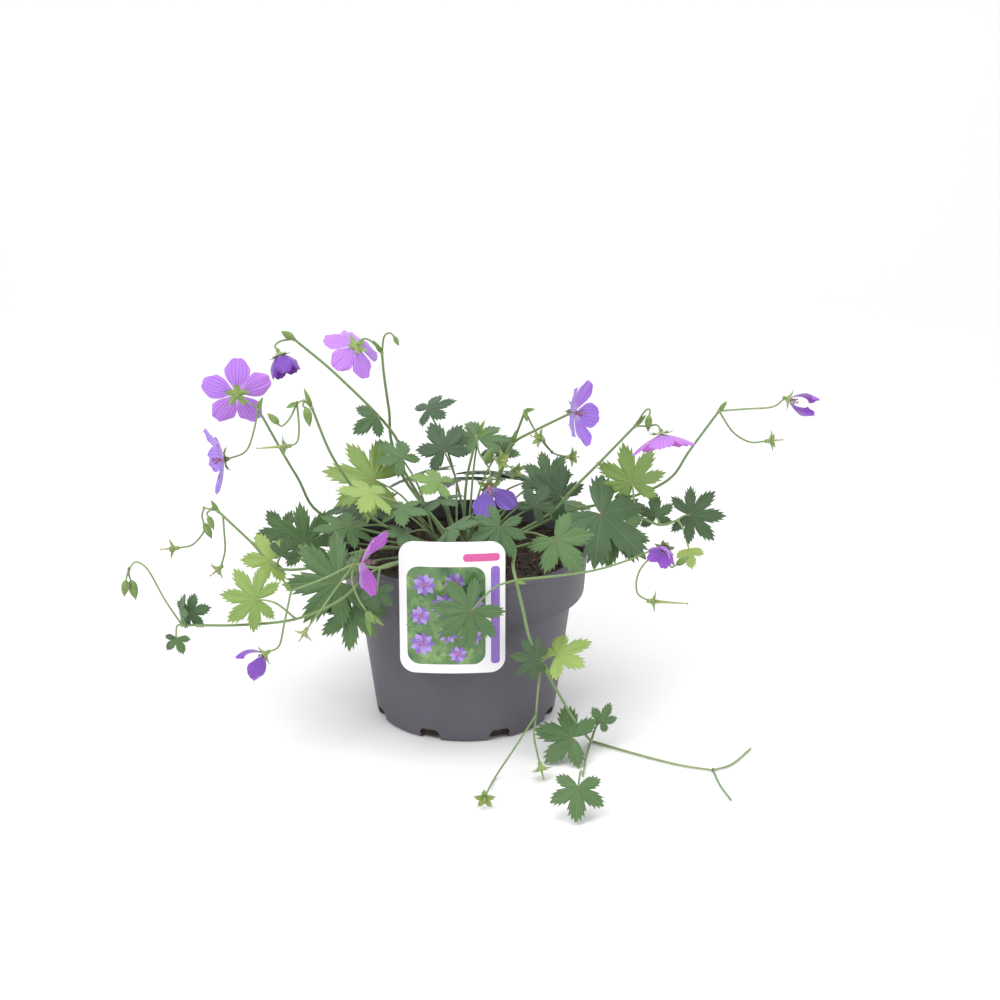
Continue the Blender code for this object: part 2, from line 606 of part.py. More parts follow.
def lance_blade(base, tip, facing, wide, thick):
    """A narrow pointed blade, widest at its middle: a bract or a sepal."""
    line = tip - base
    ahead = line.normalized()
    face = (facing - ahead * facing.dot(ahead)).normalized()
    beside = ahead.cross(face) * wide / 2
    places = [base, base + line * 0.45 + beside, tip, base + line * 0.45 - beside]
    corners = [place + face * thick * side for side in (0.5, -0.5) for place in places]
    faces = [(0, 1, 2), (0, 2, 3), (4, 6, 5), (4, 7, 6)]
    for index in range(4):
        far = (index + 1) % 4
        faces.append((index, index + 4, far + 4))
        faces.append((index, far + 4, far))
    return solid("lance", corners, faces)


def bud_loops(bud, across):
    """A closed bud, plump near its foot and drawn out to a point."""
    line = bud.tip - bud.base
    ahead = line.normalized()
    across = (across - ahead * across.dot(ahead)).normalized()
    loops = []
    for share, wide in ((0.28, 1.0), (0.68, 0.62)):
        radius = line.length * BUD_PLUMP * wide
        loops.append(ring(bud.base + line * share, across, ahead.cross(across), radius, 5))
    return [*loops, [bud.tip]]


def petal_turns(axis):
    """Two directions across an axis: the first points down and the second to the right of one facing forward."""
    down = Vector((0, 0, -1))
    below = (down - axis * down.dot(axis)).normalized()
    return below, axis.cross(below)


def calyx_loops(base, axis, spread, beak, across):
    """Five sepals joined at their feet into a star, and a beak when the petals have fallen."""
    across = (across - axis * across.dot(axis)).normalized()
    beside = axis.cross(across)
    lean = math.radians(spread)
    below, above = [], []
    for step in range(10):
        angle = math.radians(36 * step)
        outward = across * math.cos(angle) + beside * math.sin(angle)
        reach = SEPAL_LENGTH if step % 2 else SEPAL_FOOT
        place = base + (axis * math.cos(lean) + outward * math.sin(lean)) * reach
        half = (axis * math.sin(lean) - outward * math.cos(lean)) * SEPAL_THICK / 2
        below.append(place - half)
        above.append(place + half)
    loops = [ring(base - axis * CORE_SINK, across, beside, CORE_R, 5), below, above]
    if beak:
        loops.append(ring(base + axis, across, beside, BEAK_R, 5))
        loops.append(ring(base + axis * (beak + BEAK_FOOT) * 0.5, across, beside, BEAK_R * 0.8, 5))
        loops.append([base + axis * (beak + BEAK_FOOT)])
    else:
        loops.append([base + axis * CALYX_TOP])
    return loops


def bloom_bodies(bloom, axis):
    """A flower's small core, just clear of the calyx, and one thin body for each petal."""
    below, beside = petal_turns(axis)
    lean = math.radians(bloom.spread)
    foot = bloom.base + axis * PETAL_FOOT
    core = [[bloom.base + axis * (CALYX_TOP + GAP)], ring(foot, below, beside, PETAL_CORE_R, PETAL_CORE_SIDES),
            [foot + axis * PETAL_HEART]]
    bodies = [loop_body(core)]
    pairs = list(zip(bloom.petals, (*bloom.petals[1:], bloom.petals[0] + 360)))
    closest = min(following - turn for turn, following in pairs)
    crowd = min(PETAL_CROWD * math.tan(math.radians(closest / 2)), PETAL_CROWD_MOST)
    cup = PETAL_CUP * math.sin(lean) ** CUP_FADE
    scale = bloom.length / PETAL_LENGTH
    for turn in bloom.petals:
        angle = math.radians(turn)
        outward = below * math.cos(angle) + beside * math.sin(angle)
        ahead = axis * math.cos(lean) + outward * math.sin(lean)
        face = axis * math.sin(lean) - outward * math.cos(lean)
        across = ahead.cross(face)
        root = foot + outward * PETAL_SET
        places = []
        for share, width in (*PETAL_OUTLINE, (PETAL_MIDDLE, 0.0)):
            most = max(share * bloom.length * math.sin(lean) * crowd, PETAL_ROOT_HALF)
            wide = min(abs(width) * PETAL_WIDTH * scale / 2, most)
            rise = bloom.length * (PETAL_ROLL * width * width - cup * math.sin(math.pi * share))
            side = across * math.copysign(wide, width)
            places.append(root + ahead * share * bloom.length - side + face * rise)
        lift = face * PETAL_THICK / 2
        under, over = [place - lift for place in places], [place + lift for place in places]
        bodies.append(loop_body([under[-1:], under[:-1], over[:-1], over[-1:]]))
    return bodies


def fuse(name, bodies, material):
    """One closed body out of many that overlap."""
    whole, *rest = bodies
    whole.name = name
    whole.data.name = name
    if rest:
        group = bpy.data.collections.new(name + "_pieces")
        bpy.context.scene.collection.children.link(group)
        for body in rest:
            bpy.context.scene.collection.objects.unlink(body)
            group.objects.link(body)
        union = whole.modifiers.new("Fuse", "BOOLEAN")
        union.operation = "UNION"
        union.operand_type = "COLLECTION"
        union.collection = group
        union.solver = "MANIFOLD"
        apply_modifiers(whole)
        for body in rest:
            bpy.data.objects.remove(body)
        bpy.data.collections.remove(group)
    tidy_mesh(whole)
    whole.data.materials.append(material)
    return whole


def apply_modifiers(body):
    """Makes the result of the modifiers the object's own mesh."""
    view = bpy.context.evaluated_depsgraph_get()
    mesh = bpy.data.meshes.new_from_object(body.evaluated_get(view))
    body.modifiers.clear()
    old = body.data
    name = old.name
    body.data = mesh
    bpy.data.meshes.remove(old)
    mesh.name = name


def tidy_mesh(body):
    """Joins corners that all but meet, and drops the splinters that a union leaves beside the one large shell."""
    shape = bmesh.new()
    shape.from_mesh(body.data)
    bmesh.ops.remove_doubles(shape, verts=shape.verts, dist=MERGE * MM)
    bmesh.ops.dissolve_degenerate(shape, edges=shape.edges, dist=MERGE * MM)
    bmesh.ops.triangulate(shape, faces=shape.faces)
    waiting = set(shape.faces)
    shells = []
    while waiting:
        shell = [waiting.pop()]
        for face in shell:
            for edge in face.edges:
                for other in edge.link_faces:
                    if len(edge.link_faces) == 2 and other in waiting:
                        waiting.remove(other)
                        shell.append(other)
        shells.append(shell)
    shells.sort(key=len)
    for shell in shells[:-1]:
        bmesh.ops.delete(shape, geom=shell, context="FACES")
    loose = [corner for corner in shape.verts if not corner.link_faces]
    bmesh.ops.delete(shape, geom=loose, context="VERTS")
    shape.to_mesh(body.data)
    shape.free()


def carve(body, cutters):
    """Takes the cutters out of the body."""
    group = bpy.data.collections.new(body.name + "_cutters")
    bpy.context.scene.collection.children.link(group)
    for cutter in cutters:
        bpy.context.scene.collection.objects.unlink(cutter)
        group.objects.link(cutter)
        cutter.hide_render = True
        cutter.display_type = "WIRE"
    cut = body.modifiers.new("Carve", "BOOLEAN")
    cut.operation = "DIFFERENCE"
    cut.operand_type = "COLLECTION"
    cut.collection = group
    cut.solver = "MANIFOLD"
    apply_modifiers(body)
    for cutter in cutters:
        bpy.data.objects.remove(cutter)
    bpy.data.collections.remove(group)


def turned(name, profile, sides):
    """A closed body turned about the Z axis from (radius, height) pairs that start and end on the axis."""
    corners = [Vector((0, 0, profile[0][1]))]
    for radius, height in profile[1:-1]:
        for side in range(sides):
            turn = math.tau * side / sides
            corners.append(Vector((radius * math.cos(turn), radius * math.sin(turn), height)))
    corners.append(Vector((0, 0, profile[-1][1])))
    rings = len(profile) - 2
    faces = []
    for side in range(sides):
        far = (side + 1) % sides
        faces.append((0, 1 + side, 1 + far))
        faces.append((len(corners) - 1, 1 + (rings - 1) * sides + far, 1 + (rings - 1) * sides + side))
        for ring in range(rings - 1):
            near = 1 + ring * sides
            faces.append((near + side, near + sides + side, near + sides + far, near + far))
    return solid(name, corners, faces)


def box(low_corner, high_corner, turn=0.0):
    """A block between two corners, turned about the Z axis."""
    spin = Matrix.Rotation(turn, 3, "Z")
    pairs = list(zip(low_corner, high_corner))
    corners = [spin @ Vector((x, y, z)) for x in pairs[0] for y in pairs[1] for z in pairs[2]]
    faces = [(0, 1, 3, 2), (4, 6, 7, 5), (0, 4, 5, 1), (2, 3, 7, 6), (0, 2, 6, 4), (1, 5, 7, 3)]
    return solid("box", corners, faces)


def make_pot(material):
    """Round tapered pot with a stepped collar, a rolled rim and drain notches round its foot."""
    outside = POT_OUTSIDE[-3:0:-1]
    inside = [(radius - POT_WALL, height + lift) for (radius, height), lift in zip(outside, INSIDE_LIFTS)]
    profile = [(0, 0), *POT_OUTSIDE, (inside[0][0], POT_HEIGHT), *inside, (0, POT_FLOOR)]
    pot = turned("pot", profile, POT_SIDES)
    cutters = []
    for vent in range(POT_VENTS):
        turn = math.tau * (vent + 0.5) / POT_VENTS
        near, far = POT_FOOT_R - VENT_DEPTH, POT_FOOT_R + VENT_DEPTH
        cutters.append(box((near, -VENT_WIDTH / 2, -1), (far, VENT_WIDTH / 2, VENT_HEIGHT), turn))
    carve(pot, cutters)
    tidy_mesh(pot)
    pot.data.materials.append(material)
    for face in pot.data.polygons:
        face.use_smooth = True
    pot.data.set_sharp_from_angle(angle=SHARP_ANGLE)
    return pot


def make_soil(material):
    """Peat filling the pot, uneven on top, with a plain hole for each stem and a slot for the label."""
    chance = random.Random(7)
    inset = POT_WALL + 1.5 * GAP
    edge_r = POT_COLLAR_FOOT_R + (COLLAR_MIDDLE_R - POT_COLLAR_FOOT_R) * SOIL_EDGE_SHARE - inset
    sides = [(POT_FOOT_R - inset, POT_FLOOR + GAP), (POT_SHOULDER_R - inset, POT_SHOULDER_Z + SOIL_LIFT),
             (POT_COLLAR_FOOT_R - inset, POT_COLLAR_FOOT_Z + SOIL_LIFT), (edge_r, SOIL_TOP_Z - SOIL_EDGE_DROP)]
    corners = [Vector((0, 0, POT_FLOOR + GAP))]
    for radius, level in sides:
        for side in range(SOIL_SIDES):
            turn = math.tau * side / SOIL_SIDES
            corners.append(Vector((radius * math.cos(turn), radius * math.sin(turn), level)))
    for row in range(SOIL_RINGS, 0, -1):
        for side in range(SOIL_SIDES):
            turn = math.tau * side / SOIL_SIDES
            radius = edge_r * row / (SOIL_RINGS + 1)
            bump = chance.uniform(-1, 1) * SOIL_BUMP
            corners.append(Vector((radius * math.cos(turn), radius * math.sin(turn), SOIL_TOP_Z + bump)))
    corners.append(Vector((0, 0, SOIL_TOP_Z)))
    faces = []
    rows = len(sides) + SOIL_RINGS
    for side in range(SOIL_SIDES):
        far = (side + 1) % SOIL_SIDES
        faces.append((0, 1 + far, 1 + side))
        for row in range(rows - 1):
            near = 1 + row * SOIL_SIDES
            faces.append((near + side, near + far, near + SOIL_SIDES + far))
            faces.append((near + side, near + SOIL_SIDES + far, near + SOIL_SIDES + side))
        last = 1 + (rows - 1) * SOIL_SIDES
        faces.append((last + side, last + far, len(corners) - 1))
    soil = solid("soil", corners, faces)
    cutters = []
    for stems, radius in ((LEAFY_STEMS, STEM_R), (LEAF_TUFTS, CROWN_R)):
        for stem in stems:
            hole_r = (radius + GAP) / math.cos(math.pi / HOLE_SIDES)
            foot = Vector((*stem.root, SOIL_TOP_Z - HOLE_DEPTH))
            top = foot + Vector((0, 0, HOLE_DEPTH + 2 * SOIL_BUMP + 1))
            cutters.append(tube([foot, top], hole_r, hole_r, HOLE_SIDES))
    half = TONGUE_WIDTH / 2 + GAP
    slot_low = (LABEL_X - half, TONGUE_Y - LABEL_THICK / 2 - GAP, TONGUE_FOOT_Z - GAP)
    slot_high = (LABEL_X + half, TONGUE_Y + LABEL_THICK / 2 + GAP, SOIL_TOP_Z + 3 * SOIL_BUMP)
    cutters.append(box(slot_low, slot_high))
    carve(soil, cutters)
    tidy_mesh(soil)
    soil.data.materials.append(material)
    return soil


def make_label(material):
    """Plant label: a gently bent card in front of the rim, hooked over it by a tongue that enters the soil."""
    corners = []
    columns = card_columns()
    bend_y = LABEL_Y + LABEL_BEND_R
    for across, foot_z, top_z in columns:
        turn = across / LABEL_BEND_R
        for height in (foot_z, top_z):
            for side in (0.5, -0.5):
                radius = LABEL_BEND_R + side * LABEL_THICK
                x, y = LABEL_X + radius * math.sin(turn), bend_y - radius * math.cos(turn)
                corners.append(Vector((x, y, height)))
    faces = [(0, 1, 3, 2), tuple(len(corners) - 4 + index for index in (0, 2, 3, 1))]
    for column in range(len(columns) - 1):
        near, far = 4 * column, 4 * column + 4
        for first, second in ((0, 2), (2, 3), (3, 1), (1, 0)):
            faces.append((near + first, near + second, far + second, far + first))
    card = solid("label", corners, faces)
    half = TONGUE_WIDTH / 2
    bridge = box((LABEL_X - half, LABEL_Y - LABEL_THICK * 0.2, BRIDGE_Z),
                 (LABEL_X + half, TONGUE_Y + LABEL_THICK / 2, BRIDGE_Z + LABEL_THICK))
    tongue = box((LABEL_X - half, TONGUE_Y - LABEL_THICK / 2, TONGUE_FOOT_Z),
                 (LABEL_X + half, TONGUE_Y + LABEL_THICK / 2, BRIDGE_Z + LABEL_THICK / 2))
    return fuse("label", [card, bridge, tongue], material)


def card_columns():
    """(across, foot height, top height) of the card from left to right, its corners rounded."""
    half = LABEL_WIDTH / 2
    corner = []
    for index in range(CORNER_STEPS + 1):
        turn = math.pi / 2 * index / CORNER_STEPS
        inset = LABEL_CORNER * (1 - math.cos(turn))
        cut = LABEL_CORNER * (1 - math.sin(turn))
        corner.append((half - inset, LABEL_FOOT_Z + cut, LABEL_TOP_Z - cut))
    middle = [(half * share, LABEL_FOOT_Z, LABEL_TOP_Z) for share in (0.4, 0.13)]
    right = corner + middle
    left = [(-across, foot_z, top_z) for across, foot_z, top_z in right]
    return sorted(left + right)


def stem_lines(stem):
    """(points, start radius, end radius, sides) of the main stem and each of its twigs."""
    lines = []
    if stem.path:
        collar = Vector((*stem.root, SOIL_CLEAR_Z))
        foot = Vector((*stem.root, SOIL_TOP_Z - HOLE_DEPTH + GAP + OVERLAP))
        steps = 2 if len(stem.path) < 5 else 1
        lines.append(([foot, *smooth_path([collar, *stem.path], steps)], STEM_R, STEM_TIP_R, STEM_SIDES))
    else:
        foot = Vector((*stem.root, SOIL_TOP_Z - HOLE_DEPTH + GAP + OVERLAP))
        lines.append(([foot, Vector((*stem.root, CROWN_TOP_Z))], CROWN_R, CROWN_R, 6))
    for twig in stem.twigs:
        lines.append((twig_points(twig.path), twig.radius, TWIG_R, TWIG_SIDES))
    return lines


def nearest(point, lines):
    """The place on the middle lines that lies nearest to the point."""
    best = None
    for points, *rest in lines:
        for start, end in zip(points, points[1:]):
            line = end - start
            share = min(max((point - start).dot(line) / line.length_squared, 0.0), 1.0)
            place = start + line * share
            if best is None or (place - point).length < (best - point).length:
                best = place
    return best


def petiole_path(start, base):
    """A leaf stalk that rises before it reaches the leaf, and clears the rim of the pot where it crosses it."""
    line = base - start
    middle = start + line * 0.5 + Vector((0, 0, line.length * PETIOLE_RISE))
    flat_start = Vector((start.x, start.y))
    flat_line = Vector((line.x, line.y))
    if flat_start.length < POT_RIM_R < Vector((base.x, base.y)).length and base.z < RIM_CLEAR_Z + 10:
        share = 0.0
        while (flat_start + flat_line * share).length < POT_RIM_R:
            share += 0.02
        middle = start + line * share
        middle.z = max(middle.z, RIM_CLEAR_Z)
    return smooth_path([start, middle, base], 2 if line.length > 80 else 1)


def headed_twig(head, lines, twigs):
    """The twig that ends under a flower or a bud; a new short one where none does."""
    for twig in twigs:
        if (twig.path[-1] - head.base).length < 3:
            twigs.remove(twig)
            return twig
    start = nearest(head.base, lines)
    if (start - head.base).length < 1:
        toward = head.tip - head.base if isinstance(head, Bud) else Vector((0, 0, 1))
        start = head.base - toward.normalized() * 0.8
    return Twig([start, head.base], TWIG_R)


def head_loops(head, across):
    """The bud, fruit or calyx that a twig carries at its end."""
    if isinstance(head, Bud):
        return bud_loops(head, across)
    if isinstance(head, Calyx):
        axis = (head.toward - head.base).normalized()
        return calyx_loops(head.base, axis, CALYX_SPREAD, head.beak, across)
    spread = max(head.spread + SEPAL_LEAN, CALYX_SPREAD + 10)
    return calyx_loops(head.base, Vector(head.toward).normalized(), spread, 0, across)


def twig_points(path):
    """A smooth line along a twig, finer where it is short and strongly bent."""
    return smooth_path(path, 2 if len(path) == 3 else 1)


def make_stem(stem, material):
    """One leafy stem or leaf tuft as a single body."""
    lines = stem_lines(stem)
    bodies = [tube(*line) for line in lines[:1]]
    waiting = list(stem.twigs)
    for head in [*stem.buds, *stem.calyces, *stem.blooms]:
        twig = headed_twig(head, lines, waiting)
        loops, across = tube_loops(twig_points(twig.path), twig.radius, TWIG_R, TWIG_SIDES)
        bodies.append(loop_body(loops[:-1] + head_loops(head, across)))
    for twig in waiting:
        bodies.append(tube(twig_points(twig.path), twig.radius, TWIG_R, TWIG_SIDES))
    for order, leaf in enumerate(stem.leaves):
        crown = Vector((*stem.root, SOIL_CLEAR_Z + CROWN_STEP * order))
        start = nearest(leaf.start, lines) if leaf.start else crown
        if leaf.lobes == 1:
            bodies.append(lance_blade(start, leaf.tip, leaf.face, BRACT_WIDTH, BLADE_THICK))
        else:
            bodies.append(leaf_body(leaf, petiole_path(start, leaf.base)))
    return fuse(stem.name, bodies, material)


def plain_material(name, colour, roughness):
    """A plain surface colour."""
    material = bpy.data.materials.new(name)
    material.use_nodes = True
    shader = material.node_tree.nodes["Principled BSDF"]
    shader.inputs["Base Color"].default_value = (*colour, 1)
    shader.inputs["Roughness"].default_value = roughness
    material.diffuse_color = (*colour, 1)
    return material


def clear_scene():
    """Removes whatever the scene already holds."""
    for item in list(bpy.data.objects):
        bpy.data.objects.remove(item)


def main():
    """Builds every part of the plant and its pot."""
    clear_scene()
    make_pot(plain_material("pot_plastic", (0.075, 0.07, 0.09), 0.55))
    make_soil(plain_material("peat", (0.03, 0.02, 0.014), 0.95))
    make_label(plain_material("label_card", (0.82, 0.8, 0.8), 0.35))
    foliage = plain_material("foliage", (0.09, 0.2, 0.06), 0.55)
    petals = plain_material("petals", (0.42, 0.2, 0.68), 0.6)
    for stem in LEAFY_STEMS + LEAF_TUFTS:
        make_stem(stem, foliage)
        for bloom in stem.blooms:
            fuse(bloom.name, bloom_bodies(bloom, Vector(bloom.toward).normalized()), petals)


main()
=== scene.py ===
"""Fine model of a hardy geranium in flower in its nursery pot, with the studio round it."""
import json
import math
import random
from collections import namedtuple

import bmesh
import bpy
from mathutils import Matrix, Vector, noise

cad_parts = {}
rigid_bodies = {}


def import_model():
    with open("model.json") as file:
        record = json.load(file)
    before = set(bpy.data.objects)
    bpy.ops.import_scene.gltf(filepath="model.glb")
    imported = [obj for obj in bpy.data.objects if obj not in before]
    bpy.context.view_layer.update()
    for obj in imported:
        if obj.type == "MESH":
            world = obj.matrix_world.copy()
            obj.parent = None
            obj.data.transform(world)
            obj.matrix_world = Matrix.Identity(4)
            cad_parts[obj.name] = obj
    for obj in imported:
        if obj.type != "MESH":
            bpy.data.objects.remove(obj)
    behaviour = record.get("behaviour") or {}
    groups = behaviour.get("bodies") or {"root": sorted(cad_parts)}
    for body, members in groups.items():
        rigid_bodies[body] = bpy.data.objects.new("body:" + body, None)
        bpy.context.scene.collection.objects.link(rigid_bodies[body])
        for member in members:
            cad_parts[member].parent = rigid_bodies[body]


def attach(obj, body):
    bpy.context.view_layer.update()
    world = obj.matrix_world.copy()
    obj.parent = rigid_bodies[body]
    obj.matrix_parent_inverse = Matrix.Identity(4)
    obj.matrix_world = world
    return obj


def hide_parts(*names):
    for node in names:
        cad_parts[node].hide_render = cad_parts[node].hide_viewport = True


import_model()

MM = 0.001

# Front view
PIXELS_PER_MM = 1.284
FOOT_PIXEL = (466.0, 704.5)
CENTRE_PIXEL = 500.0
VIEW_TILT = math.radians(19.5)
VIEW_DISTANCE = 1800.0

# Pot
POT_HEIGHT = 136.0
POT_RIM_R = 95.0
POT_COLLAR_FOOT_R = 90.5
POT_COLLAR_FOOT_Z = 99.0
POT_SHOULDER_R = 81.5
POT_FOOT_R = 69.0
POT_WALL = 1.6
COLLAR_MIDDLE_R = 93.2
POT_FLOOR = 3.0
POT_SHOULDER_Z = 97.0
POT_OUTSIDE = (
    (66.5, 0.0), (POT_FOOT_R, 2.5), (POT_SHOULDER_R, POT_SHOULDER_Z), (POT_COLLAR_FOOT_R, POT_COLLAR_FOOT_Z),
    (COLLAR_MIDDLE_R, 131.0), (POT_RIM_R, 133.0), (POT_RIM_R, POT_HEIGHT),
)
INSIDE_LIFTS = (0, 1.2, 1.2, 0.5)
POT_FINE_SIDES = 160
EDGE_ROUND = 0.9
CREASE = math.radians(35)
POT_VENTS = 8
VENT_WIDTH = 16.0
VENT_HEIGHT = 9.0
VENT_DEPTH = 14.0

# Soil
SOIL_TOP_Z = 125.0
SOIL_CLEAR_Z = 128.5
HOLE_DEPTH = 12.0

# Label
LABEL_WIDTH = 77.0
LABEL_FOOT_Z = 69.0
LABEL_TOP_Z = 171.0
LABEL_THICK = 0.8
LABEL_CORNER = 11.0
LABEL_X = -8.0
LABEL_BEND_R = 190.0
LABEL_Y = -96.2
TONGUE_WIDTH = 24.0
TONGUE_FOOT_Z = 112.0
TONGUE_Y = -83.6
BRIDGE_Z = 137.0

# Plant
STEM_R = 1.25
TWIG_R = 0.75
STEM_TIP_R = 0.95
CROWN_R = 1.6
CROWN_TOP_Z = 134.5
CROWN_STEP = 1.7
PETIOLE_RISE = 0.14
RIM_CLEAR_Z = 142.0
LOBE_STEP = {7: 46.0, 5: 60.0, 3: 62.0}
LOBE_SHRINK = 0.24
LEAF_CURL = math.radians(9)
LEAF_FOLD = 0.03
BUD_PLUMP = 0.19
SEPAL_LENGTH = 9.5
SEPAL_LEAN = 22.0
CALYX_SPREAD = 52.0
BEAK_FOOT = 3.0
PETAL_CROWD_MOST = 1.6
PETAL_WIDTH = 18.0
PETAL_LENGTH = 27.0
PETAL_FOOT = 2.2
PETAL_CUP = 0.05
PETAL_ROLL = 0.05


def camera_ray(right, down):
    """(eye, direction) of the front view's line of sight through a pixel."""
    forward = Vector((0, math.cos(VIEW_TILT), -math.sin(VIEW_TILT)))
    up = Vector((0, math.sin(VIEW_TILT), math.cos(VIEW_TILT)))
    side = Vector((1, 0, 0))
    aim = (side * (CENTRE_PIXEL - FOOT_PIXEL[0]) + up * (FOOT_PIXEL[1] - CENTRE_PIXEL)) / PIXELS_PER_MM
    eye = aim - forward * VIEW_DISTANCE
    focal = VIEW_DISTANCE * PIXELS_PER_MM
    return eye, forward * focal + side * (right - CENTRE_PIXEL) + up * (CENTRE_PIXEL - down)


def at(right, down, depth):
    """The point at depth Y that the front view shows at this pixel."""
    eye, ray = camera_ray(right, down)
    return eye + ray * ((depth - eye.y) / ray.y)


def low(right, down, height=1.5):
    """The point at this height above the surface that the front view shows at this pixel."""
    eye, ray = camera_ray(right, down)
    return eye + ray * ((height - eye.z) / ray.z)


Leaf = namedtuple("Leaf", "start base tip face lobes")
Twig = namedtuple("Twig", "path radius")
Bud = namedtuple("Bud", "base tip")
Calyx = namedtuple("Calyx", "base toward beak")
Bloom = namedtuple("Bloom", "name base toward spread petals length")
Stem = namedtuple("Stem", "name root path twigs leaves buds calyces blooms")

FRONT = Vector((0.0, -1.0, 0.35))
UP = Vector((0.0, -0.25, 1.0))
LYING = Vector((0.0, -0.75, 0.75))
BRIGHT = Vector((0.1, -0.8, 0.6))
BESIDE = Vector((0.55, -0.7, 0.45))
WHOLE = (0, 72, 144, 216, 288)
TURNED = (36, 108, 180, 252, 324)

